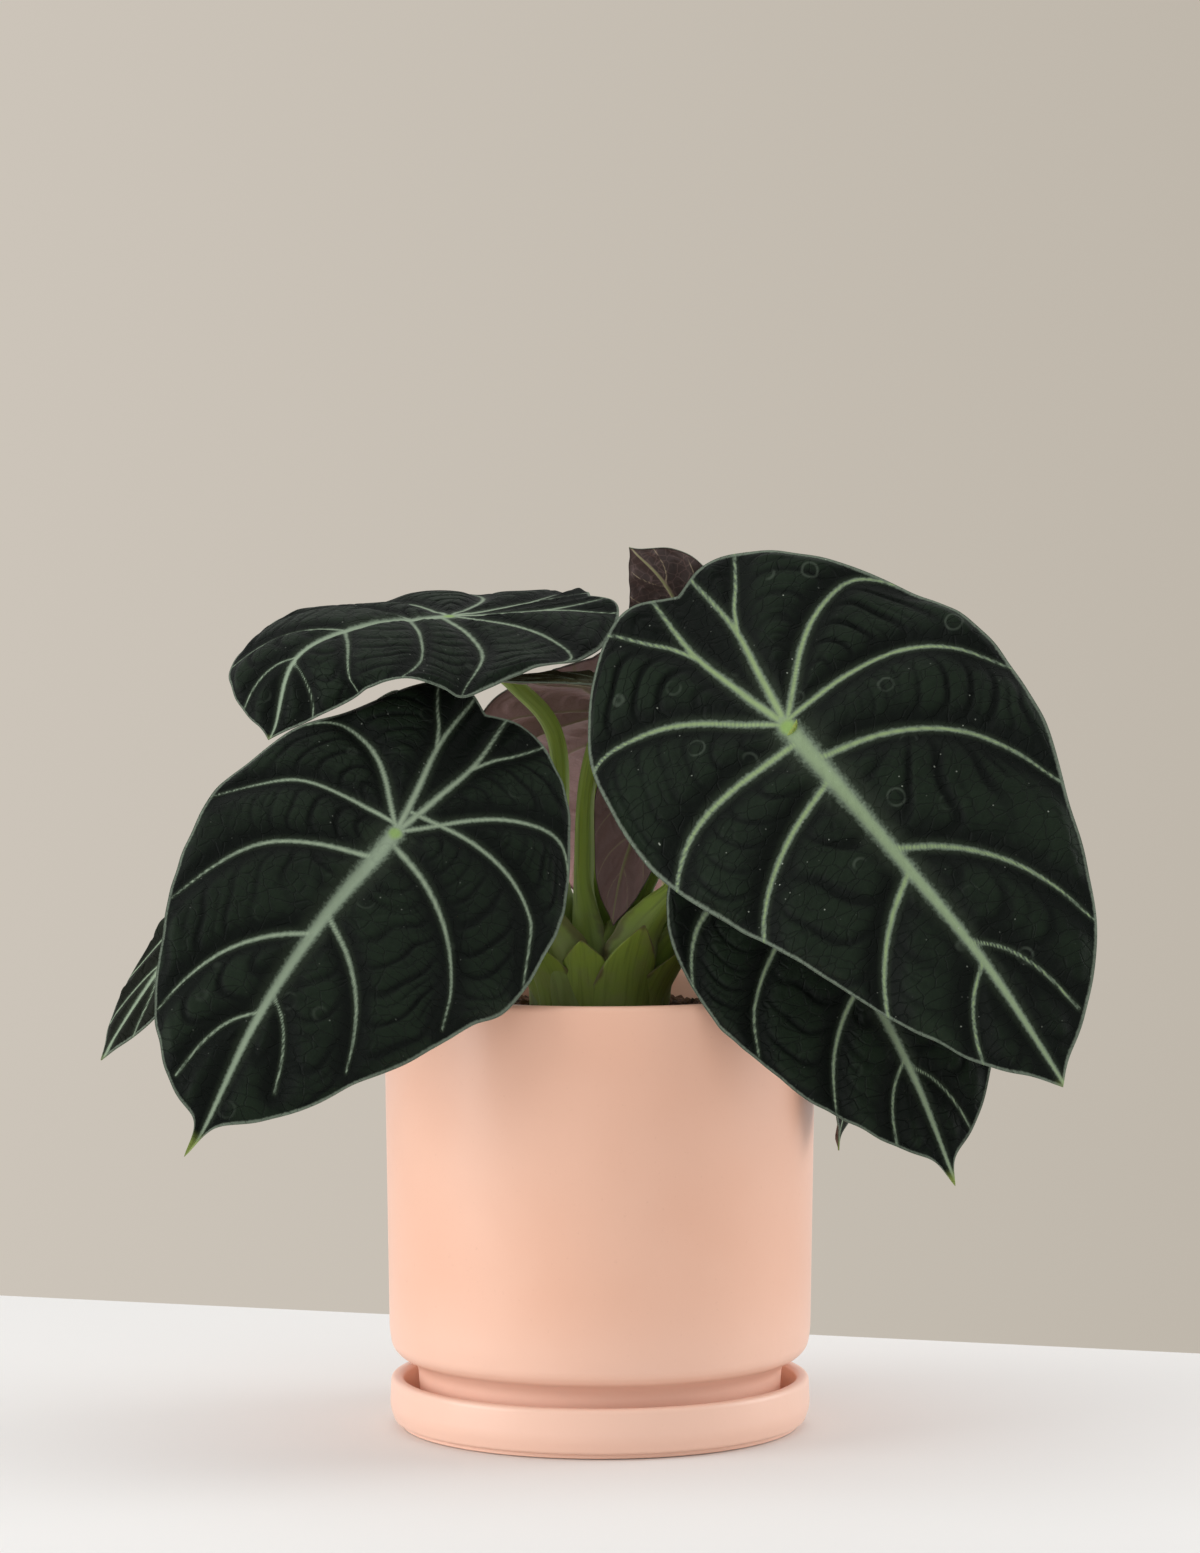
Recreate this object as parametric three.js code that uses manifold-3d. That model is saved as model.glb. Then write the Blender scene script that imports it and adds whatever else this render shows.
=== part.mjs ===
// A potted alocasia: ten peltate leaves on sheathed stalks that rise from one crown, in potting mix,
// in a glazed pot that stands on its own saucer.  Millimetres, +Z up, origin on the pot's axis at the
// underside of the saucer; the front of the plant faces -Y.
import * as THREE from 'three';
import { mergeVertices } from 'three/addons/utils/BufferGeometryUtils.js';
import Module from 'manifold-3d';

const wasm = await Module();
wasm.setup();

// Clearance between pieces that rest on or in one another.
const FIT = 0.3;

// Pot, measured from the ground line of its foot.
const POT_RADIUS = 65; // at the rim
const POT_HEIGHT = 127;
const POT_WALL = 5;
const POT_FLOOR = 8;
const POT_TAPER = 1.5; // the body is this much slimmer at its lower edge
const POT_EDGE_HEIGHT = 15.5; // foot to the lower edge of the body
const POT_EDGE_ROUND = 8.5; // height of the rounded lower edge
const FOOT_INSET = 10.5; // foot behind the rim radius
const DRAIN_RADIUS = 6;

// Saucer.
const SAUCER_HEIGHT = 15;
const SAUCER_FLOOR = 5;
const SAUCER_WALL = 4;
const SAUCER_GAP = 4.5; // foot of the pot to the saucer's wall
const BASE_STEP = 1.3; // low step round the saucer's underside

// Potting mix and crown.
const SOIL_DROP = 10; // rim to soil
const SOIL_MOUND = 1.5;
const CROWN_ACROSS = 5; // crown radius, in radii of a stalk at its foot
const CROWN_DEPTH = 14; // in the soil
const CROWN_RISE = 6; // above the soil

// Leaves.
const BLADE_THICKNESS = 1;
const STALK_JOINT_GAP = 0.4; // end of a stalk to the underside of its blade
const STALK_BASE_RADIUS = 4.4;
const STALK_TOP_RADIUS = 2.4;
const STALK_SEAT = 5; // how far a stalk is seated in the crown
const LAYOUT_CROWN = 22; // crown radius that the feet of the leaf table are drawn for
const LAYOUT_RADIUS = 65; // rim radius that the leaf table is drawn round
const LAYOUT_RIM = 132.3; // height of the rim that it is drawn for

const LATHE_SEGMENTS = 48;
const SPOKES_PER_SIDE = 14;
const BLADE_RINGS = [0.3, 0.6, 0.84, 1];
const STALK_SIDES = 8;
const STALK_STEPS = 13;

const potBase = SAUCER_FLOOR + FIT;
const rimZ = potBase + POT_HEIGHT;
const soilZ = rimZ - SOIL_DROP;
const potFloorZ = potBase + POT_FLOOR;
const footRadius = POT_RADIUS - FOOT_INSET;
const bodyLowRadius = POT_RADIUS - POT_TAPER;
const soilRimRadius = POT_RADIUS - POT_WALL - FIT;
const crownRadius = CROWN_ACROSS * STALK_BASE_RADIUS;
const footSpread = crownRadius / LAYOUT_CROWN;
const spread = POT_RADIUS / LAYOUT_RADIUS;
const lift = rimZ - LAYOUT_RIM;

// Half outline of a blade from the notch behind the stalk to the tip: across, along, in lengths of the
// blade in front of the stalk.  One side of a leaf is often fuller than the other.
const FULL_SIDE = [[0, -0.44], [0.09, -0.475], [0.18, -0.45], [0.29, -0.35], [0.41, -0.19], [0.485, -0.01],
  [0.5, 0.15], [0.47, 0.31], [0.41, 0.46], [0.33, 0.63], [0.24, 0.78], [0.13, 0.9], [0.045, 0.965], [0, 1.01]];
const SLIM_SIDE = [[0, -0.44], [0.09, -0.475], [0.18, -0.455], [0.28, -0.38], [0.36, -0.26], [0.405, -0.1],
  [0.41, 0.07], [0.375, 0.24], [0.315, 0.41], [0.26, 0.58], [0.2, 0.74], [0.12, 0.88], [0.045, 0.955], [0, 1.01]];
const DROP_SIDE = [[0, -0.4], [0.08, -0.42], [0.16, -0.4], [0.24, -0.32], [0.32, -0.2], [0.4, -0.05],
  [0.45, 0.1], [0.46, 0.27], [0.42, 0.45], [0.34, 0.62], [0.24, 0.77], [0.12, 0.89], [0.04, 0.955], [0, 1.01]];

// The midrib runs through five points: base lobe, stalk joint, a third, two thirds and the tip.
const MIDRIB_STATIONS = [-0.45, 0, 0.33, 0.67, 1];

// One row per leaf, in millimetres.  length: stalk joint to tip.  facing: where the upper face looks.
// right/left: half outlines; width: their factors; lobe: reach of the base lobes.  curl: how strongly
// each side bends down.  ruffle: [size, waves round the margin, start].  stalk: where it leaves the
// crown, then points on its way to the blade.
const LEAVES = [
  {
    name: 'right_front', length: 134, facing: [-0.1, -0.93, 0.36],
    midrib: [[22, -22, 251], [54, -55, 213], [80, -76, 184], [106, -94, 151], [129, -106, 115]],
    right: SLIM_SIDE, left: FULL_SIDE, width: [1.03, 0.95], lobe: 1, curl: [0.6, 0.5], ruffle: [0.012, 9, 0],
    stalk: [[4.5, -5], [8, -4, 150], [18, 0, 172], [28, 0, 190], [41, -19, 206]],
  },
  {
    name: 'left_front', length: 110, facing: [-0.05, -0.93, 0.36],
    midrib: [[-36, -26, 212], [-59, -55, 182], [-79, -74, 158], [-98, -91, 130], [-113, -104, 100]],
    right: FULL_SIDE, left: FULL_SIDE, width: [0.86, 1.05], lobe: 1, curl: [0.5, 0.6], ruffle: [0.012, 9, 0],
    stalk: [[-8.5, -15], [-14, -17, 145], [-28, -22, 163], [-48, -37, 176]],
  },
  {
    name: 'upper_left', length: 86, facing: [-0.05, -0.3, 0.95],
    midrib: [[-2, 30, 248], [-45, 8, 243], [-70, -6, 241], [-90, -19, 231], [-97, -26, 208]],
    right: FULL_SIDE, left: FULL_SIDE, width: [1.1, 1.1], lobe: 1, curl: [0.7, 0.5], ruffle: [0.018, 6, 1],
    stalk: [[-12, 12], [-13, 11, 165], [-13, 11, 205], [-26, 10, 223]],
  },
  {
    name: 'lower_right', length: 104, facing: [0.05, -0.93, 0.34],
    midrib: [[35, -17, 206], [55, -42, 172], [73, -56, 146], [88, -69, 117], [100, -78, 86]],
    right: DROP_SIDE, left: FULL_SIDE, width: [0.93, 0.85], lobe: 0.7, curl: [0.1, 0.5], ruffle: [0.012, 9, 0],
    stalk: [[16.2, -5.3], [21, -7, 146], [32, -14, 160], [46, -25, 168]],
  },
  {
    name: 'far_left', length: 100, facing: [-0.75, -0.6, 0.3],
    midrib: [[-59, 4, 218], [-89, -15, 191], [-109, -28, 168], [-128, -39, 143], [-145, -48, 116]],
    right: FULL_SIDE, left: FULL_SIDE, width: [0.42, 0.55], lobe: 1, curl: [1.2, 0.6], ruffle: [0.02, 9, 0],
    stalk: [[-17, 0], [-21, 1, 150], [-42, 3, 180], [-70, -4, 192]],
  },
  {
    name: 'right_side', length: 72, facing: [0.9, -0.3, 0.3],
    midrib: [[57, 14, 182], [65, 0, 158], [73, -8, 134], [75, -14, 110], [71, -20, 88]],
    right: FULL_SIDE, left: FULL_SIDE, width: [0.8, 0.8], lobe: 1, curl: [0.6, 0.6], ruffle: [0.02, 9, 0],
    stalk: [[16.2, 5.3], [21, 7, 143], [34, 7, 154], [50, 5, 157]],
  },
  {
    name: 'upright_young', length: 58, facing: [0.35, 0.93, 0.1],
    midrib: [[44, 20, 200], [37, 10, 216], [29, -1, 235], [20, -8, 253], [9, -12, 264]],
    right: FULL_SIDE, left: FULL_SIDE, width: [0.75, 0.75], lobe: 1, curl: [0.6, 0.6], ruffle: [0.02, 9, 0],
    stalk: [[10.5, 13.4], [14, 13, 165], [27, 9, 195], [34, 5, 210]],
  },
  {
    name: 'back', length: 124, facing: [0.05, 0.85, 0.5],
    midrib: [[-4, 12, 234], [6, 34, 214], [14, 66, 196], [20, 94, 166], [24, 110, 128]],
    right: FULL_SIDE, left: FULL_SIDE, width: [0.95, 0.95], lobe: 0.85, curl: [0.6, 0.6], ruffle: [0.02, 9, 0],
    stalk: [[-0.6, 17], [-3, 17, 150], [-3, 20, 185], [2, 26, 203]],
  },
  {
    name: 'young_hanging', length: 48, facing: [0.35, 0.93, 0],
    midrib: [[18, 6, 214], [14, 2, 196], [11, -5, 182], [7, -10, 168], [4, -14, 152]],
    right: FULL_SIDE, left: FULL_SIDE, width: [0.6, 0.6], lobe: 0.6, curl: [0.8, 0.8], ruffle: [0.01, 9, 0],
    stalk: [[8, -15], [13, -18, 150], [25, -20, 168], [21, -16, 186]],
  },
  {
    name: 'unrolling', length: 46, facing: [0, -0.25, 0.97],
    midrib: [[22, 3, 219], [9, -1, 222], [-3, -6, 224], [-17, -11, 225], [-31, -16, 225]],
    right: FULL_SIDE, left: FULL_SIDE, width: [0.35, 0.35], lobe: 1, curl: [-2, -2], ruffle: [0.01, 9, 0],
    stalk: [[-5.5, -4], [-5, 1, 160], [-4, 6, 192], [1, 4, 211]],
  },
];

const glaze = new THREE.MeshStandardMaterial({ color: '#efbfa4', roughness: 0.45, metalness: 0 });
const mix = new THREE.MeshStandardMaterial({ color: '#4a372c', roughness: 1, metalness: 0 });
const crownBark = new THREE.MeshStandardMaterial({ color: '#5b6133', roughness: 0.8, metalness: 0 });
const bladeSkin = new THREE.MeshStandardMaterial({ color: '#1f2b20', roughness: 0.7, metalness: 0 });
const stalkSkin = new THREE.MeshStandardMaterial({ color: '#66762d', roughness: 0.5, metalness: 0 });

function lathe(profile) {
  // A profile that closes on itself, or starts and ends on the axis, turned about +Z.
  const points = profile.map(([r, z]) => new THREE.Vector2(r, z));
  return new THREE.LatheGeometry(points, LATHE_SEGMENTS).rotateX(Math.PI / 2);
}

function closed(geometry) {
  // Same shape with shared vertices merged, so that only positions and faces are left.
  geometry.deleteAttribute('normal');
  geometry.deleteAttribute('uv');
  return mergeVertices(geometry, 1e-4);
}

function toSolid(geometry) {
  const merged = closed(geometry);
  const vertProperties = new Float32Array(merged.attributes.position.array);
  const triVerts = new Uint32Array(merged.index.array);
  return new wasm.Manifold(new wasm.Mesh({ numProp: 3, vertProperties, triVerts }));
}

function fromSolid(solid) {
  const mesh = solid.getMesh();
  const geometry = new THREE.BufferGeometry();
  geometry.setAttribute('position', new THREE.BufferAttribute(new Float32Array(mesh.vertProperties), 3));
  geometry.setIndex(new THREE.BufferAttribute(new Uint32Array(mesh.triVerts), 1));
  geometry.computeVertexNormals();
  return geometry;
}

function indexed(vertices, faces) {
  const geometry = new THREE.BufferGeometry().setFromPoints(vertices);
  geometry.setIndex(faces);
  geometry.computeVertexNormals();
  return geometry;
}

function saucer() {
  const inner = footRadius + SAUCER_GAP;
  const outer = inner + SAUCER_WALL;
  const top = SAUCER_HEIGHT;
  return lathe([
    [0, 0], [outer - 3, 0], [outer - 3, BASE_STEP], [outer - 1.4, BASE_STEP + 0.6], [outer - 0.4, 4.4],
    [outer, 8], [outer - 0.1, top - 2.6], [outer - 0.9, top - 0.7], [outer - 2, top],
    [inner + 0.9, top - 0.6], [inner + 0.1, top - 2.2], [inner - 0.6, SAUCER_FLOOR + 1.5],
    [inner - 2, SAUCER_FLOOR + 0.1], [inner - 3, SAUCER_FLOOR], [0, SAUCER_FLOOR],
  ]);
}

function pot() {
  const edgeZ = potBase + POT_EDGE_HEIGHT;
  const roundTop = edgeZ + POT_EDGE_ROUND;
  const rimInner = POT_RADIUS - POT_WALL;
  const low = bodyLowRadius;
  return lathe([
    [DRAIN_RADIUS, potBase + 3], [footRadius - 5, potBase + 3], [footRadius - 4, potBase],
    [footRadius - 1, potBase], [footRadius - 0.2, potBase + 4], [footRadius + 0.3, edgeZ - 6],
    [footRadius + 1.3, edgeZ - 2], [footRadius + 3, edgeZ], [low - 3, edgeZ + POT_EDGE_ROUND * 0.22],
    [low - 0.9, edgeZ + POT_EDGE_ROUND * 0.55], [low, roundTop], [POT_RADIUS, rimZ - 2],
    [POT_RADIUS - 0.5, rimZ - 0.7], [POT_RADIUS - 1.6, rimZ], [rimInner + 1.3, rimZ],
    [rimInner + 0.2, rimZ - 1], [rimInner, rimZ - 2.4], [low - POT_WALL, roundTop],
    [low - POT_WALL - 3, potFloorZ + 1.5], [low - POT_WALL - 6, potFloorZ], [DRAIN_RADIUS, potFloorZ],
    [DRAIN_RADIUS, potBase + 3],
  ]);
}

function pottingMix() {
  // Fills the pot to the soil line, rises a little to the middle, and leaves a pocket for the crown.
  const low = bodyLowRadius - POT_WALL - FIT;
  const pocket = crownRadius + FIT;
  const pocketZ = soilZ - CROWN_DEPTH - FIT;
  const roundTop = potBase + POT_EDGE_HEIGHT + POT_EDGE_ROUND;
  const soilRadius = THREE.MathUtils.mapLinear(soilZ, roundTop, rimZ, low, soilRimRadius);
  return lathe([
    [0, potFloorZ + FIT], [low - 6, potFloorZ + FIT], [low - 3, potFloorZ + 1.5 + FIT], [low, roundTop],
    [soilRadius, soilZ - 1], [soilRadius - 3, soilZ + 0.4], [soilRadius * 0.75, soilZ],
    [soilRadius * 0.55, soilZ + SOIL_MOUND], [pocket, soilZ + SOIL_MOUND], [pocket, pocketZ], [0, pocketZ],
  ]);
}

function crown(stalks) {
  // A squat rootstock with one socket for each stalk.
  const bottom = soilZ - CROWN_DEPTH;
  const top = soilZ + CROWN_RISE;
  const body = lathe([
    [0, bottom], [crownRadius - 4, bottom], [crownRadius, bottom + 5], [crownRadius, soilZ + 2],
    [crownRadius - 2, top - 2], [crownRadius - 5, top], [0, top],
  ]);
  let solid = toSolid(body);
  for (const points of stalks) {
    const curve = new THREE.CatmullRomCurve3(points, false, 'catmullrom', 0.5);
    const start = curve.getPoint(0);
    const away = curve.getTangent(0).multiplyScalar(-FIT);
    const cutter = stalk([start.clone().add(away), ...points.slice(1)], FIT);
    solid = solid.subtract(toSolid(cutter));
  }
  return fromSolid(solid);
}

function place([x, y, z]) {
  // A point of the leaf table, carried with the pot's rim.
  return new THREE.Vector3(x * spread, y * spread, z + lift);
}

function bladeFrame(leaf) {
  // Returns a function of the station along the leaf: point on the midrib, direction, face and side.
  const curve = new THREE.CatmullRomCurve3(leaf.midrib.map(place), false, 'catmullrom', 0.5);
  const facing = new THREE.Vector3(...leaf.facing);
  const last = MIDRIB_STATIONS.length - 1;
  return (along) => {
    const inside = THREE.MathUtils.clamp(along, MIDRIB_STATIONS[0], MIDRIB_STATIONS[last]);
    let k = 0;
    while (k < last - 1 && inside > MIDRIB_STATIONS[k + 1]) k += 1;
    const share = (inside - MIDRIB_STATIONS[k]) / (MIDRIB_STATIONS[k + 1] - MIDRIB_STATIONS[k]);
    const t = (k + share) / last;
    const direction = curve.getTangent(t);
    const point = curve.getPoint(t).addScaledVector(direction, leaf.length * (along - inside));
    const face = facing.clone().addScaledVector(direction, -facing.dot(direction)).normalize();
    const side = new THREE.Vector3().crossVectors(direction, face);
    return { point, direction, face, side };
  };
}

function bladePoint(leaf, frameAt, across, along, offset) {
  // Each side bends down as an arc of the given curl, and the margin ripples as a sine.
  const { point, face, side } = frameAt(along);
  const curl = across > 0 ? leaf.curl[0] : leaf.curl[1];
  const [size, waves, start] = leaf.ruffle;
  const out = Math.hypot(across / 0.46, (along - 0.28) / 0.72);
  const angle = Math.atan2(across, along - 0.2);
  const ripple = size * Math.min(out, 1.2) ** 4 * Math.sin(waves * angle + start);
  const sideways = (leaf.length * Math.sin(curl * across)) / curl;
  const drop = (leaf.length * (1 - Math.cos(curl * across))) / curl;
  return point.clone()
    .addScaledVector(side, sideways)
    .addScaledVector(face, leaf.length * ripple - drop + offset);
}

function outline(leaf) {
  // The closed margin: down the right side from the notch to the tip, and back up the left side.
  const halves = [leaf.right, leaf.left].map((half, i) => {
    const sign = i === 0 ? 1 : -1;
    const points = half.map(([x, y]) => new THREE.Vector2(sign * x * leaf.width[i], y < 0 ? y * leaf.lobe : y));
    return new THREE.SplineCurve(points).getPoints(SPOKES_PER_SIDE);
  });
  return [...halves[0], ...halves[1].reverse().slice(1, -1)];
}

function blade(leaf) {
  // A thin closed shell on a grid of spokes and rings round the stalk joint.
  const frameAt = bladeFrame(leaf);
  const margin = outline(leaf);
  const spokes = margin.length;
  const vertices = [];
  const faces = [];
  for (const offset of [BLADE_THICKNESS / 2, -BLADE_THICKNESS / 2]) {
    vertices.push(bladePoint(leaf, frameAt, 0, 0, offset));
    for (const ring of BLADE_RINGS) {
      for (const p of margin) vertices.push(bladePoint(leaf, frameAt, p.x * ring, p.y * ring, offset));
    }
  }
  const layer = vertices.length / 2;
  const at = (ring, spoke, under) => under * layer + 1 + ring * spokes + (spoke % spokes);
  for (let s = 0; s < spokes; s += 1) {
    faces.push(0, at(0, s, 0), at(0, s + 1, 0), layer, at(0, s + 1, 1), at(0, s, 1));
    for (let r = 0; r < BLADE_RINGS.length - 1; r += 1) {
      const top = [at(r, s, 0), at(r + 1, s, 0), at(r + 1, s + 1, 0), at(r, s + 1, 0)];
      const low = [at(r, s, 1), at(r + 1, s, 1), at(r + 1, s + 1, 1), at(r, s + 1, 1)];
      faces.push(top[0], top[1], top[2], top[0], top[2], top[3]);
      faces.push(low[0], low[2], low[1], low[0], low[3], low[2]);
    }
    const rim = BLADE_RINGS.length - 1;
    faces.push(at(rim, s, 0), at(rim, s, 1), at(rim, s + 1, 1));
    faces.push(at(rim, s, 0), at(rim, s + 1, 1), at(rim, s + 1, 0));
  }
  return indexed(vertices, faces);
}

function stalkPoints(leaf) {
  // Seated in the crown at its base; its last stretch meets the blade square, just short of it.
  const { point, face } = bladeFrame(leaf)(0);
  const [[baseX, baseY], ...rest] = leaf.stalk;
  const seat = new THREE.Vector3(baseX * footSpread, baseY * footSpread, soilZ + CROWN_RISE - STALK_SEAT);
  const end = point.clone().addScaledVector(face, -(BLADE_THICKNESS / 2 + STALK_JOINT_GAP));
  const turn = point.clone().addScaledVector(face, -6);
  return [seat, ...rest.map(place), turn, end];
}

function stalk(points, extra = 0) {
  // A round tapered tube; extra widens it for the socket that it sits in.
  const curve = new THREE.CatmullRomCurve3(points, false, 'catmullrom', 0.5);
  const frames = curve.computeFrenetFrames(STALK_STEPS, false);
  const vertices = [curve.getPointAt(0)];
  const faces = [];
  for (let i = 0; i <= STALK_STEPS; i += 1) {
    const u = i / STALK_STEPS;
    const radius = THREE.MathUtils.lerp(STALK_BASE_RADIUS, STALK_TOP_RADIUS, Math.sqrt(u)) + extra;
    const centre = curve.getPointAt(u);
    for (let j = 0; j < STALK_SIDES; j += 1) {
      const angle = (2 * Math.PI * j) / STALK_SIDES;
      vertices.push(centre.clone()
        .addScaledVector(frames.normals[i], radius * Math.cos(angle))
        .addScaledVector(frames.binormals[i], radius * Math.sin(angle)));
    }
  }
  vertices.push(curve.getPointAt(1));
  const end = vertices.length - 1;
  const at = (i, j) => 1 + i * STALK_SIDES + (j % STALK_SIDES);
  for (let j = 0; j < STALK_SIDES; j += 1) {
    faces.push(0, at(0, j + 1), at(0, j), end, at(STALK_STEPS, j), at(STALK_STEPS, j + 1));
    for (let i = 0; i < STALK_STEPS; i += 1) {
      faces.push(at(i, j), at(i, j + 1), at(i + 1, j + 1), at(i, j), at(i + 1, j + 1), at(i + 1, j));
    }
  }
  return indexed(vertices, faces);
}

function node(name, geometry, material) {
  const mesh = new THREE.Mesh(geometry, material);
  mesh.name = name;
  return mesh;
}

const plant = new THREE.Group();
const stalks = LEAVES.map(stalkPoints);
plant.add(node('saucer', saucer(), glaze));
plant.add(node('pot', pot(), glaze));
plant.add(node('potting_mix', pottingMix(), mix));
plant.add(node('crown', crown(stalks), crownBark));
LEAVES.forEach((leaf, i) => {
  plant.add(node(`stalk_${leaf.name}`, stalk(stalks[i]), stalkSkin));
  plant.add(node(`blade_${leaf.name}`, blade(leaf), bladeSkin));
});

export default plant;
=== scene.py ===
"""A potted alocasia: ten velvety peltate leaves on sheathed stalks in a glazed pot on its saucer.

Every piece is a surface worked out with numpy in metres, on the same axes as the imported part:
+Z up, the front of the plant towards -Y, the origin under the saucer.
"""

import math

import bpy
import numpy as np
from bpy.props import FloatProperty, FloatVectorProperty, IntProperty, PointerProperty
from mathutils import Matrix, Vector


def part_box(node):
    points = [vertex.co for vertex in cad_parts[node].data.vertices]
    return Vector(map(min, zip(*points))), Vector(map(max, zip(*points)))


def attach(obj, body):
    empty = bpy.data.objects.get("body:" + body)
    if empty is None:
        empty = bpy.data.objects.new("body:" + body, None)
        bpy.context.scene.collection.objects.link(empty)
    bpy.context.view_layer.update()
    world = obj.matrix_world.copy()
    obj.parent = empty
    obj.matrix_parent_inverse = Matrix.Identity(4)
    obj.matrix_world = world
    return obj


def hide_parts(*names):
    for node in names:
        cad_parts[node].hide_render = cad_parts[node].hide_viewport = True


bl_info = {
    "name": "Potted Alocasia",
    "version": (1, 0, 0),
    "blender": (4, 5, 0),
    "location": "3D View > Sidebar > Alocasia",
    "description": "Builds a potted alocasia with its glazed pot, saucer and studio",
    "category": "Add Mesh",
}

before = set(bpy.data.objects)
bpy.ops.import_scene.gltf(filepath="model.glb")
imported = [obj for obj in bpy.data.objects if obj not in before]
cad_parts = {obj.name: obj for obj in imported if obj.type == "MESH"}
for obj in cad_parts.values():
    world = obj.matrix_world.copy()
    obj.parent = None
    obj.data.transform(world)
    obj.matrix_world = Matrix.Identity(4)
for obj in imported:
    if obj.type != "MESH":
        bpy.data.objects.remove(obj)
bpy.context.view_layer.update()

MM = 0.001
POT_LOW, POT_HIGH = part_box("pot")
SAUCER_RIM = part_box("saucer")[1]
SOIL_LOW, SOIL_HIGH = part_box("potting_mix")
CROWN_LOW, CROWN_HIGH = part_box("crown")
RIM_RADIUS = POT_HIGH.x

# Pot and saucer
FOOT_RECESS = 3 * MM  # underside of the pot above its foot ring
FOOT_RING = 5 * MM  # from the edge of the recess to the outside of the foot
RIM_BAND = 6 * MM  # upright stretch under the rim
POT_ROUNDING = 2.2 * MM
SAUCER_WALL = 4 * MM
SAUCER_FLOOR = 5 * MM
SAUCER_STEP = 1.3 * MM  # low step round the saucer's underside
SAUCER_ROUNDING = 1.9 * MM
PROFILE_STEPS = 9  # points of each rounded corner

# Potting mix and what lies on it
SOIL_MOUND = 1.5 * MM
SOIL_WAVES = 0.7 * MM
SOIL_SINK = 1.6 * MM  # level of the mix below the top of its box, before mound and waves
SOIL_UNDERSIDE = 0.84  # radius of the underside, as a share of the top's
SOIL_LIFT = 1 * MM  # underside above the bottom of its box
BITS_AREA = (0.1, 0.965**2)  # ring that holds the loose bits, as shares of the mix's area
BITS_SEED = 11

# Half outline of a blade from the notch behind the stalk to the tip: across, along, in lengths of
# the blade in front of the stalk.
FULL_SIDE = [
    (0, -0.44), (0.09, -0.475), (0.18, -0.45), (0.29, -0.35), (0.41, -0.19), (0.485, -0.01), (0.5, 0.15),
    (0.47, 0.31), (0.41, 0.46), (0.33, 0.63), (0.24, 0.78), (0.13, 0.9), (0.045, 0.965), (0, 1.01),
]
SLIM_SIDE = [
    (0, -0.44), (0.09, -0.475), (0.18, -0.455), (0.28, -0.38), (0.36, -0.26), (0.405, -0.1), (0.41, 0.07),
    (0.375, 0.24), (0.315, 0.41), (0.26, 0.58), (0.2, 0.74), (0.12, 0.88), (0.045, 0.955), (0, 1.01),
]
DROP_SIDE = [
    (0, -0.4), (0.08, -0.42), (0.16, -0.4), (0.24, -0.32), (0.32, -0.2), (0.4, -0.05), (0.45, 0.1),
    (0.46, 0.27), (0.42, 0.45), (0.34, 0.62), (0.24, 0.77), (0.12, 0.89), (0.04, 0.955), (0, 1.01),
]
# The midrib runs through base lobe, stalk joint, a third, two thirds and the tip.
MIDRIB_STATIONS = [-0.45, 0, 0.33, 0.67, 1]

# Veins of one half: (half width at the start, at the end, points across and along).
SIDE_VEINS = [
    (0.0125, 0.0045, [(0, 0), (0.03, -0.16), (0.055, -0.3), (0.05, -0.46)]),
    (0.0055, 0.0036, [(0.05, -0.27), (0.085, -0.335), (0.12, -0.38), (0.17, -0.455)]),
    (0.0095, 0.003, [(0, 0), (0.14, -0.15), (0.25, -0.215), (0.36, -0.225), (0.455, -0.13)]),
    (0.0095, 0.003, [(0, 0.01), (0.17, 0), (0.31, 0.02), (0.41, 0.09), (0.5, 0.23)]),
    (0.0095, 0.003, [(0, 0.12), (0.15, 0.17), (0.27, 0.25), (0.35, 0.36), (0.4, 0.5)]),
    (0.0085, 0.0026, [(0, 0.4), (0.1, 0.47), (0.18, 0.56), (0.23, 0.66), (0.26, 0.765)]),
    (0.0046, 0.0034, [(0, 0.66), (0.06, 0.72), (0.1, 0.8), (0.125, 0.905)]),
]
JOINT_VEINS = 3  # the first ones start at the joint or in the base lobe, and keep their place
# Half widths of the midrib: place along it, half width.
MIDRIB_WIDTHS = [
    (-0.035, 0.012), (0, 0.026), (0.1, 0.024), (0.25, 0.019), (0.5, 0.0145), (0.75, 0.0095), (1.02, 0.004),
]
ARC_PITCH = 0.056  # from one small arc to the next, in blade lengths

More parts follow.
